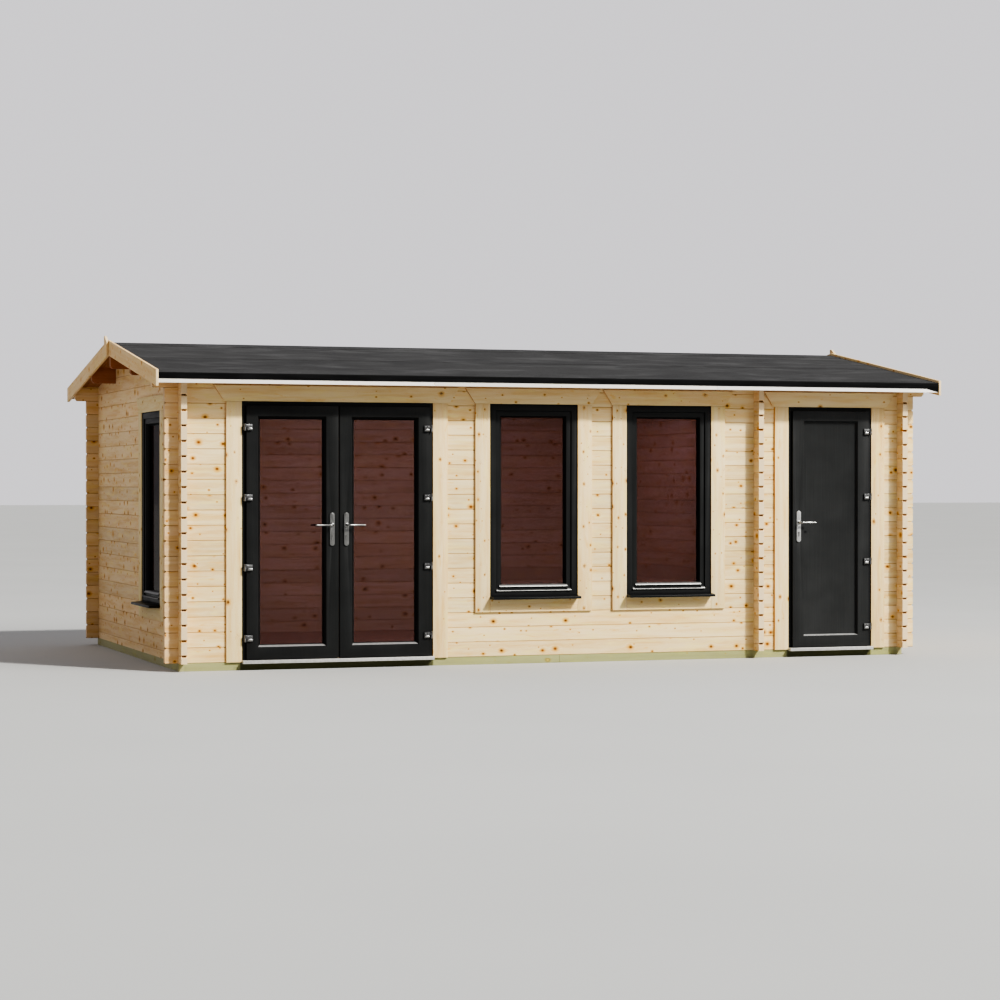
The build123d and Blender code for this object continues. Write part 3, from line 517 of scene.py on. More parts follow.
class Boards:
    """Several boards in one piece, each with its own grain frame and seed."""

    def __init__(self, seed=1):
        self.rng = random.Random(seed)
        self.bm = bmesh.new()
        self.g = self.bm.verts.layers.float_vector.new("grain")
        self.s = self.bm.verts.layers.float.new("seed")
        self.e = self.bm.faces.layers.float.new("endface")

    def prism(self, pts, push, along, bevel=0.0015, move=None, segs=2, across=None, seed=None):
        """pts: flat polygon (plan coordinates), pushed along a vector."""
        bm = bmesh.new()
        push = Vector(push)
        a = [bm.verts.new(Vector(p)) for p in pts]
        b = [bm.verts.new(Vector(p) + push) for p in pts]
        n = len(pts)
        bm.faces.new(list(reversed(a)))
        bm.faces.new(b)
        for i in range(n):
            bm.faces.new((a[i], a[(i + 1) % n], b[(i + 1) % n], b[i]))
        bmesh.ops.recalc_face_normals(bm, faces=bm.faces)
        sharp_bevel(bm, bevel, segs)
        self.take(bm, along, move, across, seed)

    def take(self, bm, along, move=None, across=None, seed=None):
        """Adds a closed mesh given in plan coordinates as one board."""
        al = Vector(along).normalized()
        if across is None:
            cs = [Vector(v) for v in ((1, 0, 0), (0, 1, 0), (0, 0, 1))
                  if abs(Vector(v).dot(al)) < 0.6]
            ext = [max(q.co.dot(c) for q in bm.verts) - min(q.co.dot(c) for q in bm.verts)
                   for c in cs]
            across = cs[0] if ext[0] > ext[1] else cs[1]
        ac = Vector(across)
        ac = (ac - al * ac.dot(al)).normalized()
        th = al.cross(ac)
        off = Vector((self.rng.uniform(0, 30), self.rng.uniform(0, 9), self.rng.uniform(0, 2)))
        sd = self.rng.random() if seed is None else seed
        c0 = sum((v.co for v in bm.verts), Vector()) / len(bm.verts)
        bm.normal_update()
        new = {}
        flip = False
        for v in bm.verts:
            p = v.co
            d = p - c0
            q = move(p) if move else p
            nv = self.bm.verts.new(P(*q))
            nv[self.g] = Vector((d.dot(al), d.dot(ac), d.dot(th))) + off
            nv[self.s] = sd
            new[v.index] = nv
        bm.verts.index_update()
        for f in bm.faces:
            vs = [new[v.index] for v in f.verts]
            nf = self.bm.faces.new(vs)
            nf[self.e] = 1.0 if abs(f.normal.dot(al)) > 0.75 else 0.0
        bm.free()

    def done(self, name, mat, body, replaces=(), smooth=35.0):
        bmesh.ops.recalc_face_normals(self.bm, faces=self.bm.faces)
        return finish_mesh(name, self.bm, mat, body, replaces, smooth)


def rect(x0, x1, z0, z1, y):
    return [(x0, y, z0), (x1, y, z0), (x1, y, z1), (x0, y, z1)]


def box_pts(x0, x1, y0, z0, z1):
    return rect(x0, x1, z0, z1, y0)


# --------------------------------------------------------- walls: CAD + timber
for n in ("front_wall_left_end", "front_wall_below_windows", "front_wall_door_pier",
          "front_wall_middle_pier", "front_wall_store_pier", "front_wall_right_end",
          "front_wall_header", "rear_wall"):
    NODES[n].data.materials.clear()
    NODES[n].data.materials.append(SPRUCE_X)
for n in ("left_wall_below_window", "left_wall_front_pier", "left_wall_rear_pier",
          "left_gable", "right_gable_wall", "partition_wall"):
    NODES[n].data.materials.clear()
    NODES[n].data.materials.append(SPRUCE_Y)
for n, mt in (("roof_purlins", BEAM), ("front_and_rear_bearers", TREATED_X),
              ("floor_bearers", TREATED_Y), ("left_french_door_glass", DOOR_GLASS),
              ("right_french_door_glass", DOOR_GLASS), ("window_panes", PANE_GLASS)):
    NODES[n].data.materials.clear()
    NODES[n].data.materials.append(mt)

# ------------------------------------------------------------------ roof boards
rb = Boards(11)
W = (TOP_X1 - TOP_X0) / 72
for front in (True, False):
    for i in range(72):
        x0, x1 = TOP_X0 + i * W + 0.0004, TOP_X0 + (i + 1) * W - 0.0004
        ya, yb = -EAVES, MID - 0.0005
        za, zb = roof_z(ya), roof_z(yb)
        c = 0.004
        sec = [(x0, c), (x0 + c, 0), (x1 - c, 0), (x1, c), (x1, ROOF_BOARD), (x0, ROOF_BOARD)]
        pts = [(x, ya, za + h) for x, h in sec]
        mv = None if front else (lambda p: Vector((p.x, DEP - p.y, p.z)))
        rb.prism(pts, (0, yb - ya, zb - za), (0, 1, 0.16), 0.0, mv)
rb.done("roof_tongued_boards", ROOF_WOOD, "cabin", ("roof_boards",))

# ------------------------------------------------------------------ floor boards
fb = Boards(12)
for x0, x1, n in ((T, 4.680, 29), (4.725, LEN - T, 29)):
    w = (DEP - 2 * T) / n
    for i in range(n):
        cuts = [x0, x1]
        if x1 - x0 > 2:
            cuts = [x0, x0 + (x1 - x0) * (0.42 + 0.2 * (i % 3) * 0.9), x1]
        for a, b in zip(cuts[:-1], cuts[1:]):
            y0, y1 = T + i * w + 0.0004, T + (i + 1) * w - 0.0004
            c = 0.0025
            sec = [(y0, 0), (y1, 0), (y1, 0.019 - c), (y1 - c, 0.019), (y0 + c, 0.019), (y0, 0.019 - c)]
            fb.prism([(a + 0.0004, y, HB + h) for y, h in sec], (b - a - 0.0008, 0, 0), (1, 0, 0), 0.0)
fb.done("floor_tongued_boards", FLOOR_WOOD, "cabin", ("floors",))

# ------------------------------------------------------------------------- felt
FY = EAVES + FASCIA_T


def felt_sheet(bm, sl, y0, y1, lift0, lift1, thick, seed, front, slope_end=False):
    """One sheet laid along the roof from y0 up to y1 (slope distance in plan)."""
    nx, ny = 130, max(5, int((y1 - y0) / 0.07))
    rows = []
    for j in range(ny + 1):
        t = j / ny
        y = y0 + (y1 - y0) * t
        row = []
        for i in range(nx + 1):
            x = TOP_X0 + (TOP_X1 - TOP_X0) * i / nx
            wv = noise.noise(Vector((x * 1.1, y * 2.4, seed * 7.7))) * 0.0014
            wv += noise.noise(Vector((x * 4.2, y * 6.0, seed * 3.1))) * 0.0005
            edge = min(1.0, t * ny / 1.5, (1 - t) * ny / 1.5)
            z = roof_z(y) + ROOF_BOARD + lift0 + (lift1 - lift0) * t + abs(wv) * edge
            yy = y if front else DEP - y
            row.append((P(x, yy, z), P(x, yy, z + thick)))
        rows.append(row)
    lo = [[bm.verts.new(p[0]) for p in r] for r in rows]
    hi = [[bm.verts.new(p[1]) for p in r] for r in rows]
    for grp in (lo, hi):
        for r in grp:
            for v in r:
                v[sl] = (seed * 0.37) % 1.0
    for j in range(ny):
        for i in range(nx):
            bm.faces.new((hi[j][i], hi[j][i + 1], hi[j + 1][i + 1], hi[j + 1][i]))
            bm.faces.new((lo[j][i], lo[j + 1][i], lo[j + 1][i + 1], lo[j][i + 1]))
    for i in range(nx):
        bm.faces.new((lo[0][i], lo[0][i + 1], hi[0][i + 1], hi[0][i]))
        bm.faces.new((lo[ny][i + 1], lo[ny][i], hi[ny][i], hi[ny][i + 1]))
    for j in range(ny):
        bm.faces.new((lo[j + 1][0], lo[j][0], hi[j][0], hi[j + 1][0]))
        bm.faces.new((lo[j][nx], lo[j + 1][nx], hi[j + 1][nx], hi[j][nx]))


bm = bmesh.new()
sl = bm.verts.layers.float.new("seed")
for front, s0 in ((True, 1), (False, 5)):
    felt_sheet(bm, sl, -FY + 0.004, 0.745, 0.0002, 0.0002, 0.0026, s0, front)
    felt_sheet(bm, sl, 0.665, 1.60, 0.0030, 0.0002, 0.0026, s0 + 1, front)
# ridge cap over both slopes
nx = 130
prof = [(-0.20, 0.0030), (-0.10, 0.0030), (-0.03, 0.0030), (0.0, 0.0022), (0.03, 0.0030),
        (0.10, 0.0030), (0.20, 0.0030)]
rows = []
for dy, lift in prof:
    y = MID + dy
    row = []
    for i in range(nx + 1):
        x = TOP_X0 + (TOP_X1 - TOP_X0) * i / nx
        wv = abs(noise.noise(Vector((x * 1.7, dy * 9.0, 4.4)))) * 0.0010
        z = roof_z(y) + ROOF_BOARD + lift + wv
        row.append((P(x, y, z), P(x, y, z + 0.0024)))
    rows.append(row)
lo = [[bm.verts.new(p[0]) for p in r] for r in rows]
hi = [[bm.verts.new(p[1]) for p in r] for r in rows]
for grp in (lo, hi):
    for r in grp:
        for v in r:
            v[sl] = 0.83
nj = len(prof) - 1
for j in range(nj):
    for i in range(nx):
        bm.faces.new((hi[j][i], hi[j][i + 1], hi[j + 1][i + 1], hi[j + 1][i]))
        bm.faces.new((lo[j][i], lo[j + 1][i], lo[j + 1][i + 1], lo[j][i + 1]))
    bm.faces.new((lo[j + 1][0], lo[j][0], hi[j][0], hi[j + 1][0]))
    bm.faces.new((lo[j][nx], lo[j + 1][nx], hi[j + 1][nx], hi[j][nx]))
for i in range(nx):
    bm.faces.new((lo[0][i], lo[0][i + 1], hi[0][i + 1], hi[0][i]))
    bm.faces.new((lo[nj][i + 1], lo[nj][i], hi[nj][i], hi[nj][i + 1]))
bmesh.ops.recalc_face_normals(bm, faces=bm.faces)
finish_mesh("roof_felt_sheets", bm, FELT, "cabin", ("roof_felt",), 50.0)

# felt turned down over the eaves, black, with a rolled upper edge and folded ends
LIP_Z0 = 2.168
for front, nm in ((True, "front"), (False, "rear")):
    bm = bmesh.new()
    zt = roof_z(-FY) + ROOF_BOARD
    yo = -FY - 0.0042
    prof = [(-FY - 0.0004, LIP_Z0), (yo, LIP_Z0 + 0.001), (yo, zt - 0.006)]
    for k in range(1, 5):
        a = k / 4 * math.radians(78)
        prof.append((yo + 0.006 * (1 - math.cos(a)), zt - 0.006 + 0.0078 * math.sin(a)))
    prof.append((-FY + 0.012, zt + TAN * 0.012 + 0.0003))
    inner = [(-FY + 0.012, zt + TAN * 0.012 - 0.0008), (-FY - 0.0004, zt - 0.001)]
    ring = prof + inner
    nx = 60
    cols = []
    for i in range(nx + 1):
        x = TOP_X0 + (TOP_X1 - TOP_X0) * i / nx
        col = []
        for k, (y, z) in enumerate(ring):
            wv = noise.noise(Vector((x * 1.3, 3.3 if front else 8.8, 0.0))) * 0.0010 if k in (0, 1) else 0.0
            drop = 0.0
            if k in (0, 1):
                edge = max(0.0, (x - (TOP_X1 - 0.020)) / 0.020)
                drop = 0.027 * edge
            col.append(bm.verts.new(P(x, y if front else DEP - y, z + wv - drop)))
        cols.append(col)
    nk = len(ring)
    for i in range(nx):
        for k in range(nk):
            k2 = (k + 1) % nk
            bm.faces.new((cols[i][k], cols[i + 1][k], cols[i + 1][k2], cols[i][k2]))
    bm.faces.new(cols[0])
    bm.faces.new(list(reversed(cols[nx])))
    bmesh.ops.recalc_face_normals(bm, faces=bm.faces)
    finish_mesh("felt_turn_down_" + nm, bm, DRIP, "cabin")

# ------------------------------------------------------------------- eaves boards
eb = Boards(21)
fz1 = roof_z(-EAVES) + ROOF_BOARD - TAN * FASCIA_T
for front in (True, False):
    mv = None if front else (lambda p: Vector((p.x, DEP - p.y, p.z)))
    for a, b in ((TOP_X0, 1.92), (1.92, 4.25), (4.25, TOP_X1)):
        pts = [(a + 0.0003, -EAVES, 2.138), (a + 0.0003, -EAVES, fz1 + TAN * FASCIA_T),
               (a + 0.0003, -FY, fz1), (a + 0.0003, -FY, 2.138)]
        eb.prism(pts, (b - a - 0.0006, 0, 0), (1, 0, 0), 0.0012, mv)
eb.done("eaves_boards_finished", EAVES_WOOD, "cabin", ("eaves_boards",))

# -------------------------------------------------------------------- bargeboards
bb = Boards(31)
XB0, XB1 = TOP_X0 - 0.020, TOP_X1
for x0 in (XB0, XB1):
    for front in (True, False):
        mv = None if front else (lambda p: Vector((p.x, DEP - p.y, p.z)))
        ya, yb = -0.260, MID - 0.0005
        ta, tb = roof_z(ya) + 0.050, roof_z(yb) + 0.050
        pts = [(x0, ya, ta - 0.121), (x0, yb, tb - 0.121), (x0, yb, tb), (x0, ya, ta)]
        bb.prism(pts, (0.020, 0, 0), (0, 1, TAN), 0.002, mv)
bb.done("bargeboards_finished", BARGE, "cabin", ("bargeboards",))
cb = Boards(32)
for x0 in (XB0 - 0.018, XB1 + 0.020):
    zt, zb = roof_z(MID) + 0.050, roof_z(MID) - 0.071
    y0, y1 = MID - 0.056 + 0.006, MID + 0.056 + 0.006
    pts = [(x0, y0, zb - 0.002), (x0, y1, zb - 0.002), (x0, y1, zt + 0.034),
           (x0, y1 - 0.030, zt + 0.034), (x0, y0, zt - 0.022)]
    cb.prism(pts, (0.018, 0, 0), (0, 0, 1), 0.002)
cb.done("apex_cover_finished", BARGE, "cabin", ("apex_cover_boards",))


# -------------------------------------------------------------------------- trims
def door_trim(bs, x0, x1, foot=HB):
    """Side boards and the splayed head board of a door."""
    for a in (x0 - TRIM_W, x1):
        bs.prism(rect(a, a + TRIM_W, foot, DOOR_TOP - 0.0004, -TRIM_T), (0, TRIM_T, 0), (0, 0, 1), 0.002)
    head(bs, x0, x1, DOOR_EAR)


def head(bs, x0, x1, ear0, mv=None):
    a, b = x0 - TRIM_W - ear0, x1 + TRIM_W + ear0
    pts = [(a, -TRIM_T, DOOR_TOP + 0.0004), (b, -TRIM_T, DOOR_TOP + 0.0004),
           (b + EAR, -TRIM_T, DOOR_TOP + TRIM_H), (a - EAR, -TRIM_T, DOOR_TOP + TRIM_H)]
    bs.prism(pts, (0, TRIM_T, 0), (1, 0, 0), 0.002, mv, across=(0, 0, 1))


def window_trim(bs, x0, x1, mv=None):
    foot = WIN_Z0 - 0.100
    for a in (x0 - TRIM_W, x1):
        bs.prism(rect(a, a + TRIM_W, foot, DOOR_TOP - 0.0004, -TRIM_T), (0, TRIM_T, 0),
                 (0, 0, 1), 0.002, mv, across=(1, 0, 0))
    bs.prism(rect(x0 + 0.0004, x1 - 0.0004, foot, WIN_Z0 - 0.0002, -TRIM_T), (0, TRIM_T, 0),
             (1, 0, 0), 0.002, mv, across=(0, 0, 1))
    head(bs, x0, x1, 0.0, mv)


dt = Boards(41)
door_trim(dt, FR_X0, FR_X1)
door_trim(dt, ST_X0, ST_X1)
dt.done("door_trims_finished", BOARD, "cabin", ("door_side_trims", "door_head_trims"))
wt = Boards(42)
window_trim(wt, W1_X0, W1_X0 + WIN_W)
window_trim(wt, W2_X0, W2_X0 + WIN_W)
window_trim(wt, W1_X0, W1_X0 + WIN_W, side)
wt.done("window_trims_finished", BOARD_KNOTTY, "cabin", ("window_trims",))

# ------------------------------------------------------------- frames and leaves
from_cad("door_jambs", "door_jambs_finished", DARK, "cabin", 0.002)
from_cad("door_frame_heads", "door_frame_heads_finished", DARK, "cabin", 0.002)
from_cad("door_thresholds", "door_thresholds_finished", SILLWOOD, "cabin", 0.0015)
from_cad("window_frames", "window_frames_finished", DARK, "cabin", 0.002)
from_cad("window_sashes", "window_sashes_finished", DARK, "cabin", 0.002)
from_cad("window_sills", "window_sills_finished", SILL, "cabin", 0.003, 3)
from_cad("left_french_door", "left_french_door_finished", DARK, "left_door", 0.002)
from_cad("right_french_door", "right_french_door_finished", DARK, "right_door", 0.002)
from_cad("store_door", "store_door_finished", DARK_DOOR, "side_door", 0.002)
from_cad("hinge_frame_halves", "hinge_frame_halves_finished", ZINC, "cabin", 0.001)
for nm, body in (("left_french_door_hardware", "left_door"),
                 ("right_french_door_hardware", "right_door"),
                 ("store_door_hardware", "side_door")):
    from_cad(nm, nm + "_finished", STEEL_LIT if body == "side_door" else STEEL, body,
             0.0012)


# ------------------------------------------------------------------------ levers
def sweep(bm, path, radii, n=20):
    """Tube of elliptical section along a path; radii: (across, thick) per point."""
    rings = []
    for i, p in enumerate(path):
        a = path[max(0, i - 1)]
        b = path[min(len(path) - 1, i + 1)]
        t = (b - a).normalized()
        up = Vector((0, 0, 1))
        s = t.cross(up).normalized()
        r1, r2 = radii[i]
        ring = []
        for k in range(n):
            w = 2 * math.pi * k / n
            ring.append(bm.verts.new(p + up * (r1 * math.sin(w)) + s * (r2 * math.cos(w))))
        rings.append(ring)
    for i in range(len(rings) - 1):
        for k in range(n):
            bm.faces.new((rings[i][k], rings[i][(k + 1) % n], rings[i + 1][(k + 1) % n], rings[i + 1][k]))
    bm.faces.new(list(reversed(rings[0])))
    bm.faces.new(rings[-1])


def lever(name, x, d, body, node):
    """Handles of both faces: round neck that bends into a slim tapering bar."""
    bm = bmesh.new()
    for yf, s in ((-0.040, -1), (0.030, 1)):
        path, radii = [], []
        for t in (-0.006, 0.004, 0.012, 0.020):
            path.append(Vector((x, yf + s * t, LEVER_Z)))
            radii.append((0.0074, 0.0074))
        for k in range(1, 7):
            a = k / 6 * math.pi / 2
            path.append(Vector((x + d * 0.020 * (1 - math.cos(a)), yf + s * (0.020 + 0.020 * math.sin(a)), LEVER_Z)))
            q = k / 6
            radii.append((0.0074 + 0.0004 * q, 0.0074 - 0.0008 * q))
        for k in range(1, 13):
            q = k / 12
            path.append(Vector((x + d * (0.020 + 0.118 * q), yf + s * (0.040 - 0.004 * math.sin(q * math.pi) + 0.0), LEVER_Z)))
            e = 1.0 if k < 12 else 0.8
            radii.append(((0.0078 - 0.0012 * q) * e, (0.0066 - 0.0010 * q) * e))
        path.append(path[-1] + Vector((d * 0.002, 0, 0)))
        radii.append((0.0038, 0.0030))
        path = [P(*p) for p in path]
        sweep(bm, path, radii)
        # rose under the neck
        seg = 28
        prof = [(0.0160, 0.0), (0.0160, 0.0028), (0.0145, 0.0042), (0.0100, 0.0046)]
        rings = []
        for r, h in prof:
            rings.append([bm.verts.new(P(x + r * math.cos(2 * math.pi * k / seg), yf + s * h,
                                         LEVER_Z + r * math.sin(2 * math.pi * k / seg))) for k in range(seg)])
        for i in range(len(rings) - 1):
            for k in range(seg):
                bm.faces.new((rings[i][k], rings[i][(k + 1) % seg], rings[i + 1][(k + 1) % seg], rings[i + 1][k]))
        bm.faces.new(rings[0])
        bm.faces.new(rings[-1])
    bmesh.ops.recalc_face_normals(bm, faces=bm.faces)
    finish_mesh(name, bm, STEEL_X, body, (node,), 40.0)


XL, XR, XS = 1.172, 1.284, 5.062
lever("left_lever_handle", XL, -1, "left_lever", "left_french_door_lever")
lever("right_lever_handle", XR, 1, "right_lever", "right_french_door_lever")
lever("store_lever_handle", XS, 1, "side_lever", "store_door_lever")


# ------------------------------------------- lock cylinders, screws, hinge caps
def disc(bm, c, axis_y, r, h, seg=20, dome=0.0):
    """Round boss standing on a face whose normal is -y or +y."""
    prof = [(r, 0.0), (r, h * 0.6), (r * 0.86, h * 0.92), (r * 0.45, h + dome * 0.6)]
    rings = [[bm.verts.new(P(c[0] + q * math.cos(2 * math.pi * k / seg), c[1] + axis_y * t,
                             c[2] + q * math.sin(2 * math.pi * k / seg))) for k in range(seg)]
             for q, t in prof]
    for i in range(len(rings) - 1):
        for k in range(seg):
            bm.faces.new((rings[i][k], rings[i][(k + 1) % seg], rings[i + 1][(k + 1) % seg], rings[i + 1][k]))
    top = bm.verts.new(P(c[0], c[1] + axis_y * (h + dome), c[2]))
    for k in range(seg):
        bm.faces.new((rings[-1][k], rings[-1][(k + 1) % seg], top))
    bm.faces.new(rings[0])


def euro_lock(name, x, body):
    bm = bmesh.new()
    dk = bmesh.new()
    zc = LEVER_Z - 0.092
    for yf, s in ((-0.040, -1), (0.030, 1)):
        disc(bm, (x, yf, zc + 0.010), s, 0.0085, 0.0030, 24)
        a = [P(x - 0.005, yf, zc - 0.015), P(x + 0.005, yf, zc - 0.015),
             P(x + 0.005, yf, zc + 0.006), P(x - 0.005, yf, zc + 0.006)]
        b = [p + Vector((0, s * 0.0026, 0)) for p in a]
        va = [bm.verts.new(p) for p in a]
        vb = [bm.verts.new(p) for p in b]
        bm.faces.new(va)
        bm.faces.new(list(reversed(vb)))
        for i in range(4):
            bm.faces.new((va[i], va[(i + 1) % 4], vb[(i + 1) % 4], vb[i]))
        for dz in (0.118, -0.080):
            disc(bm, (x, yf, PLATE_Z + dz), s, 0.0038, 0.0010, 14, 0.0004)
        # key slot: a thin black plate standing for the shade inside the keyway, painted shade
        a = [P(x - 0.0009, yf + s * 0.0029, zc + 0.006), P(x + 0.0009, yf + s * 0.0029, zc + 0.006),
             P(x + 0.0009, yf + s * 0.0029, zc + 0.014), P(x - 0.0009, yf + s * 0.0029, zc + 0.014)]
        b = [p + Vector((0, s * 0.0004, 0)) for p in a]
        va = [dk.verts.new(p) for p in a]
        vb = [dk.verts.new(p) for p in b]
        dk.faces.new(va)
        dk.faces.new(list(reversed(vb)))
        for i in range(4):
            dk.faces.new((va[i], va[(i + 1) % 4], vb[(i + 1) % 4], vb[i]))
    for q in (bm, dk):
        bmesh.ops.recalc_face_normals(q, faces=q.faces)
    finish_mesh(name, bm, STEEL, body)
    finish_mesh(name + "_key_slots", dk, KEYWAY_SHADE, body)


PLATE_Z = 1.053
euro_lock("left_door_lock_cylinder", XL, "left_door")
euro_lock("right_door_lock_cylinder", XR, "right_door")
euro_lock("store_door_lock_cylinder", XS, "side_door")

HINGE_Z = (1.820, 1.293, 0.768, 0.238)
for nm, xe, s, body in (("left_door", FR_X0, 1, "left_door"), ("right_door", FR_X1, -1, "right_door"),
                        ("store_door", ST_X1, -1, "side_door")):
    bm = bmesh.new()
    for z in HINGE_Z:
        # rounded cover of the leaf half: a low pillow with a fat lower lip
        xc, hx, n = xe + s * (0.018 + 0.037), 0.0225, 32
        rings = []
        for q, dy in ((1.0, 0.0), (0.985, 0.0032), (0.93, 0.0058), (0.80, 0.0076), (0.55, 0.0088), (0.25, 0.0093)):
            ring = []
            for k in range(n):
                t = 2 * math.pi * k / n
                cx, sz = math.cos(t), math.sin(t)
                ex = math.copysign(abs(cx) ** 0.62, cx) * hx * q
                ez = math.copysign(abs(sz) ** 0.75, sz) * 0.0092 * q
                ring.append(bm.verts.new(P(xc + ex, -0.0438 - dy, z - 0.0118 + ez)))
            rings.append(ring)
        for i in range(len(rings) - 1):
            for k in range(n):
                bm.faces.new((rings[i][k], rings[i][(k + 1) % n], rings[i + 1][(k + 1) % n], rings[i + 1][k]))
        bm.faces.new(rings[0])
        bm.faces.new(rings[-1])
    bmesh.ops.recalc_face_normals(bm, faces=bm.faces)
    finish_mesh(nm + "_hinge_lips", bm, KNUCKLE, body, (), 50.0)
    bm = bmesh.new()
    for z in HINGE_Z:
        for dx in (0.026, 0.048):
            disc(bm, (xe + s * (0.018 + dx), -0.044, z + 0.0125), -1, 0.0040, 0.0010, 14, 0.0004)
    bmesh.ops.recalc_face_normals(bm, faces=bm.faces)
    finish_mesh(nm + "_hinge_screws", bm, ZINC, body)
    bm = bmesh.new()
    for z in HINGE_Z:
        for zc, sz in ((z + 0.023, 1), (z - 0.023, -1)):
            seg = 20
            xp = xe + s * 0.018
            prof = [(0.0092, 0.0), (0.0092, 0.0022), (0.0070, 0.0044), (0.0030, 0.0054)]
            rings = [[bm.verts.new(P(xp + r * math.cos(2 * math.pi * k / seg), -0.044 + r * math.sin(2 * math.pi * k / seg),
                                     zc + sz * h)) for k in range(seg)] for r, h in prof]
            for i in range(len(rings) - 1):
                for k in range(seg):
                    bm.faces.new((rings[i][k], rings[i][(k + 1) % seg], rings[i + 1][(k + 1) % seg], rings[i + 1][k]))
            bm.faces.new(rings[0])
            bm.faces.new(rings[-1])
    bmesh.ops.recalc_face_normals(bm, faces=bm.faces)
    finish_mesh(nm + "_hinge_caps", bm, ZINC, "cabin")


# ----------------------------------------------------------------------- gaskets
def frame_strip(bm, x0, x1, z0, z1, w, ya, yb, mv=None):
    """Square ring between two depths: a glazing seal, or a black strip of painted shade."""
    out = [(x0, z0), (x1, z0), (x1, z1), (x0, z1)]
    inn = [(x0 + w, z0 + w), (x1 - w, z0 + w), (x1 - w, z1 - w), (x0 + w, z1 - w)]
    f = (lambda x, y, z: P(*mv(Vector((x, y, z))))) if mv else (lambda x, y, z: P(x, y, z))
    a = [bm.verts.new(f(x, ya, z)) for x, z in out]
    b = [bm.verts.new(f(x, ya, z)) for x, z in inn]
    c = [bm.verts.new(f(x, yb, z)) for x, z in out]
    d = [bm.verts.new(f(x, yb, z)) for x, z in inn]
    for i in range(4):
        j = (i + 1) % 4
        bm.faces.new((a[i], a[j], b[j], b[i]))
        bm.faces.new((c[j], c[i], d[i], d[j]))
        bm.faces.new((c[i], c[j], a[j], a[i]))
        bm.faces.new((b[i], b[j], d[j], d[i]))


def brush_seal(bm, x0, x1):
    """Thin brush between the foot of a leaf and the threshold."""
    pts = [(x0, -0.0100), (x1, -0.0100), (x1, 0.0060), (x0, 0.0060)]
    lo = [bm.verts.new(P(x, y, BRUSH_Z)) for x, y in pts]
    hi = [bm.verts.new(P(x, y, 0.0806)) for x, y in pts]
    for i in range(4):
        j = (i + 1) % 4
        bm.faces.new((lo[i], lo[j], hi[j], hi[i]))
    bm.faces.new(lo)
    bm.faces.new(hi)


def rain_bead(nm, a, b, body, zf, slope, ya, yb):
    """Aluminium strip on the splayed foot of a pane or panel, mitred at both ends."""
    bm = bmesh.new()
    top = lambda y: zf + (y + 0.032) * slope
    prof = [(ya, top(ya) + 0.0004, 0.0), (ya, top(ya) + 0.0024, 0.0), (ya + 0.0030, top(ya + 0.0030) + 0.0032, 0.0),
            (yb - 0.0024, top(yb - 0.0024) + 0.0030, 0.0), (yb, top(yb) + 0.0024, 0.0), (yb, top(yb) + 0.0004, 0.0)]
    ra = [bm.verts.new(P(a + (y + 0.032) * slope, y, z)) for y, z, k in prof]
    rb = [bm.verts.new(P(b - (y + 0.032) * slope, y, z)) for y, z, k in prof]
    for i in range(len(prof)):
        j = (i + 1) % len(prof)
        bm.faces.new((ra[i], rb[i], rb[j], ra[j]))
    bm.faces.new(list(reversed(ra)))
    bm.faces.new(rb)
    bmesh.ops.recalc_face_normals(bm, faces=bm.faces)
    finish_mesh(nm + "_rain_bead", bm, ALU_BEAD, body)


BRUSH_Z = 0.0753
L_X0, L_X1 = FR_X0 + 0.031, 1.222
R_X0, R_X1 = 1.234, FR_X1 - 0.031
for nm, a, b, body in (("left_door", L_X0 + 0.088, L_X1 - 0.094, "left_door"),
                       ("right_door", R_X0 + 0.094, R_X1 - 0.088, "right_door")):
    bm = bmesh.new()
    frame_strip(bm, a + 0.018, b - 0.018, 0.168 + 0.018, 1.905 - 0.018, 0.0045, -0.0015, 0.002)
    frame_strip(bm, a + 0.018, b - 0.018, 0.168 + 0.018, 1.905 - 0.018, 0.0045, 0.016, 0.0185)
    bmesh.ops.recalc_face_normals(bm, faces=bm.faces)
    finish_mesh(nm + "_glazing_seal", bm, GASKET_AND_GAP_SHADE, body)
    # bulb seal on the meeting edge and brush under the leaf
    bm = bmesh.new()
    e, d = (L_X1, 1) if nm == "left_door" else (R_X0, -1)
    prof = [(e - d * 0.0006, -0.0300), (e + d * 0.0030, -0.0296), (e + d * 0.0043, -0.0270), (e + d * 0.0045, -0.0210),
            (e + d * 0.0043, -0.0150), (e + d * 0.0030, -0.0124), (e - d * 0.0006, -0.0120)]
    lo = [bm.verts.new(P(x, y, 0.0835)) for x, y in prof]
    hi = [bm.verts.new(P(x, y, 1.9800)) for x, y in prof]
    for i in range(len(prof)):
        j = (i + 1) % len(prof)
        bm.faces.new((lo[i], lo[j], hi[j], hi[i]))
    bm.faces.new(lo)
    bm.faces.new(hi)
    brush_seal(bm, (L_X0 if nm == "left_door" else R_X0) + 0.004, (L_X1 if nm == "left_door" else R_X1) - 0.004)
    bmesh.ops.recalc_face_normals(bm, faces=bm.faces)
    finish_mesh(nm + "_edge_seals", bm, GASKET_AND_GAP_SHADE, body)
    rain_bead(nm, a, b, body, 0.168, 18.0 / 34.0, -0.0240, -0.0028)
bm = bmesh.new()
brush_seal(bm, ST_X0 + 0.035, ST_X1 - 0.035)
bmesh.ops.recalc_face_normals(bm, faces=bm.faces)
finish_mesh("store_door_edge_seals", bm, GASKET_AND_GAP_SHADE, "side_door")
rain_bead("store_door", ST_X0 + 0.129, ST_X1 - 0.129, "side_door", 0.168, 10.0 / 26.0, -0.0285, -0.0062)
bm = bmesh.new()
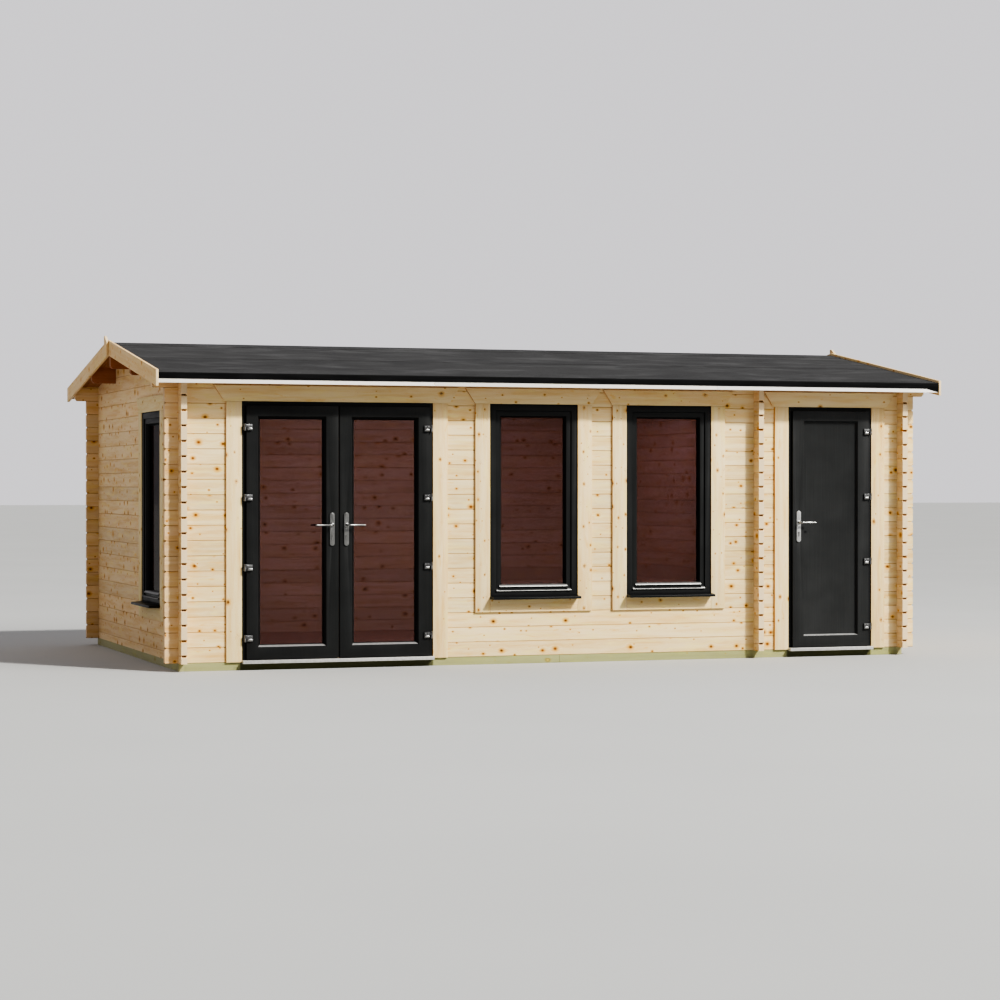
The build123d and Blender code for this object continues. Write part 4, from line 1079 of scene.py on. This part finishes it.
for x0, mv in ((W1_X0, None), (W2_X0, None), (W1_X0, side)):
    a0, a1, c0, c1 = x0 + 0.100, x0 + WIN_W - 0.100, WIN_Z0 + 0.100, WIN_Z1 - 0.100
    frame_strip(bm, a0, a1, c0, c1, 0.004, 0.0275, 0.031, mv)
    frame_strip(bm, a0, a1, c0, c1, 0.004, 0.041, 0.0435, mv)
bmesh.ops.recalc_face_normals(bm, faces=bm.faces)
finish_mesh("window_glazing_seals", bm, GASKET_AND_GAP_SHADE, "cabin")

# ------------------------------------------------- weather bars of the windows
def bar(bm, x0, x1, prof, mv=None, seg=1):
    """Profile (y, z) run from x0 to x1 with closed ends."""
    f = (lambda x, y, z: P(*mv(Vector((x, y, z))))) if mv else (lambda x, y, z: P(x, y, z))
    a = [bm.verts.new(f(x0, y, z)) for y, z in prof]
    b = [bm.verts.new(f(x1, y, z)) for y, z in prof]
    n = len(prof)
    for i in range(n):
        j = (i + 1) % n
        bm.faces.new((a[i], b[i], b[j], a[j]))
    bm.faces.new(list(reversed(a)))
    bm.faces.new(b)


WZ = WIN_Z0
bars, skirts, caps, gap_shade_strips = bmesh.new(), bmesh.new(), bmesh.new(), bmesh.new()
for x0, mv in ((W1_X0, None), (W2_X0, None), (W1_X0, side)):
    x1 = x0 + WIN_W
    bar(bars, x0 + 0.078, x1 - 0.084,
        [(0.000, WZ + 0.0945), (-0.011, WZ + 0.0935), (-0.013, WZ + 0.096), (-0.0115, WZ + 0.100),
         (-0.004, WZ + 0.109), (0.000, WZ + 0.1115), (0.006, WZ + 0.1130), (0.0300, WZ + 0.1150),
         (0.0300, WZ + 0.1015), (0.000, WZ + 0.0965)], mv)
    bar(bars, x0 + 0.053, x1 - 0.053,
        [(-0.001, WZ + 0.064), (-0.019, WZ + 0.062), (-0.021, WZ + 0.0638), (-0.020, WZ + 0.0668),
         (-0.015, WZ + 0.0700), (-0.001, WZ + 0.0715)], mv)
    bar(skirts, x0 + 0.0505, x1 - 0.0505,
        [(-0.001, WZ + 0.0495), (-0.0098, WZ + 0.0495), (-0.0098, WZ + 0.0635), (-0.001, WZ + 0.0635)], mv)
    for a, b in ((x0 + 0.0515, x0 + 0.065), (x1 - 0.088, x1 - 0.0575)):
        bar(caps, a, b,
            [(-0.0005, WZ + 0.063), (-0.0225, WZ + 0.061), (-0.0240, WZ + 0.065), (-0.0220, WZ + 0.071),
             (-0.014, WZ + 0.078), (-0.0005, WZ + 0.081)], mv)
    # painted shade: a thin black ring on the frame's outer edge stands for the shadow gap between frame and trims
    frame_strip(gap_shade_strips, x0 + 0.0004, x1 - 0.0004, WZ + 0.0265, WIN_Z1 - 0.0004, 0.007, -0.0112, -0.0098, mv)
for q in (bars, skirts, caps, gap_shade_strips):
    bmesh.ops.recalc_face_normals(q, faces=q.faces)
finish_mesh("window_weather_bars", bars, ALU, "cabin")
finish_mesh("window_weather_bar_skirts", skirts, DARK, "cabin")
finish_mesh("window_weather_bar_caps", caps, ALU, "cabin")
finish_mesh("window_perimeter_shade_strips", gap_shade_strips, GASKET_AND_GAP_SHADE, "cabin")

# ------------------------------------------------------------------------- stage
fm = Mat("plain_floor")
fm.put(fm.b.inputs["Base Color"], fm.mix(fm.noise(fm.coords().outputs["Object"], 0.35, 3.0),
                                         (0.43, 0.435, 0.43), (0.47, 0.475, 0.47)))
fm.b.inputs["Roughness"].default_value = 0.9
fm.b.inputs["Specular IOR Level"].default_value = 0.1
bm = bmesh.new()
bmesh.ops.create_grid(bm, x_segments=2, y_segments=2, size=150.0)
me = bpy.data.meshes.new("stage_floor")
bm.to_mesh(me)
bm.free()
floor = bpy.data.objects.new("stage_floor", me)
floor.location = (0, 0, -0.0005)
bpy.context.collection.objects.link(floor)
me.materials.append(fm.mat)

# ------------------------------------------------------------------------- light
world = bpy.data.worlds.new("studio")
bpy.context.scene.world = world
world.use_nodes = True
wn = world.node_tree.nodes
wl = world.node_tree.links
bg = wn["Background"]
# pale room: brighter overhead, behind and to the left, dimmer towards the front
tc = wn.new("ShaderNodeTexCoord")
sp = wn.new("ShaderNodeSeparateXYZ")
wl.new(tc.outputs["Generated"], sp.inputs[0])
rz = wn.new("ShaderNodeMapRange")
for i, v in enumerate((0.0, -0.1, 0.9, 0.24, 0.58)):
    rz.inputs[i].default_value = v
wl.new(sp.outputs[2], rz.inputs[0])
ry = wn.new("ShaderNodeMapRange")
for i, v in enumerate((0.0, -1.0, 1.0, 0.48, 1.36)):
    ry.inputs[i].default_value = v
wl.new(sp.outputs[1], ry.inputs[0])
mu = wn.new("ShaderNodeMath")
mu.operation = "MULTIPLY"
wl.new(rz.outputs[0], mu.inputs[0])
rx = wn.new("ShaderNodeMapRange")
for i, v in enumerate((0.0, -1.0, 1.0, 1.18, 0.86)):
    rx.inputs[i].default_value = v
wl.new(sp.outputs[0], rx.inputs[0])
mv2 = wn.new("ShaderNodeMath")
mv2.operation = "MULTIPLY"
wl.new(ry.outputs[0], mv2.inputs[0])
wl.new(rx.outputs[0], mv2.inputs[1])
wl.new(mv2.outputs[0], mu.inputs[1])
lp = wn.new("ShaderNodeLightPath")
seen = wn.new("ShaderNodeMix")
seen.data_type = "FLOAT"
wl.new(lp.outputs["Is Camera Ray"], seen.inputs[0])
wl.new(mu.outputs[0], seen.inputs[2])
seen.inputs[3].default_value = 0.72
wl.new(seen.outputs[0], bg.inputs["Strength"])
bg.inputs["Color"].default_value = (0.985, 0.965, 1.0, 1.0)


def lamp(name, kind, energy, color, place, aim, **props):
    d = bpy.data.lights.new(name, kind)
    d.energy = energy
    d.color = color
    for k, v in props.items():
        setattr(d, k, v)
    o = bpy.data.objects.new(name, d)
    o.location = place
    o.rotation_euler = (Vector(place) - Vector(aim)).to_track_quat("Z", "Y").to_euler()
    bpy.context.collection.objects.link(o)
    return o


lamp("key_sun", "SUN", 3.5, (1.0, 0.985, 0.93), (7.2, -10.0, 10.6), (0, 0, 0),
     angle=math.radians(4.0))
lamp("front_softbox", "AREA", 2300.0, (1.0, 0.99, 0.97), (11.5, -14.5, 13.5), (0.0, 0.0, 1.0),
     shape="RECTANGLE", size=12.0, size_y=8.0)
lamp("room_light", "AREA", 76.0, (1.0, 0.97, 0.92), (-0.62, -0.6, 2.05), (-0.56, 1.2, 0.9),
     shape="RECTANGLE", size=3.7, size_y=0.6)

# ------------------------------------------------------------------------ camera
cam = bpy.data.cameras.new("camera")
cam.sensor_fit = "HORIZONTAL"
cam.sensor_width = 36.0
cam.lens = 91.616
cam.clip_end = 400.0
co = bpy.data.objects.new("camera", cam)
co.location = (-6.9052, -20.3506, 1.39387)
co.rotation_euler = (math.pi / 2 - 0.0062329, 0.0, -0.331873)
bpy.context.collection.objects.link(co)
bpy.context.scene.camera = co
bpy.context.scene.view_settings.view_transform = "AgX"
bpy.context.scene.view_settings.look = "AgX - High Contrast"
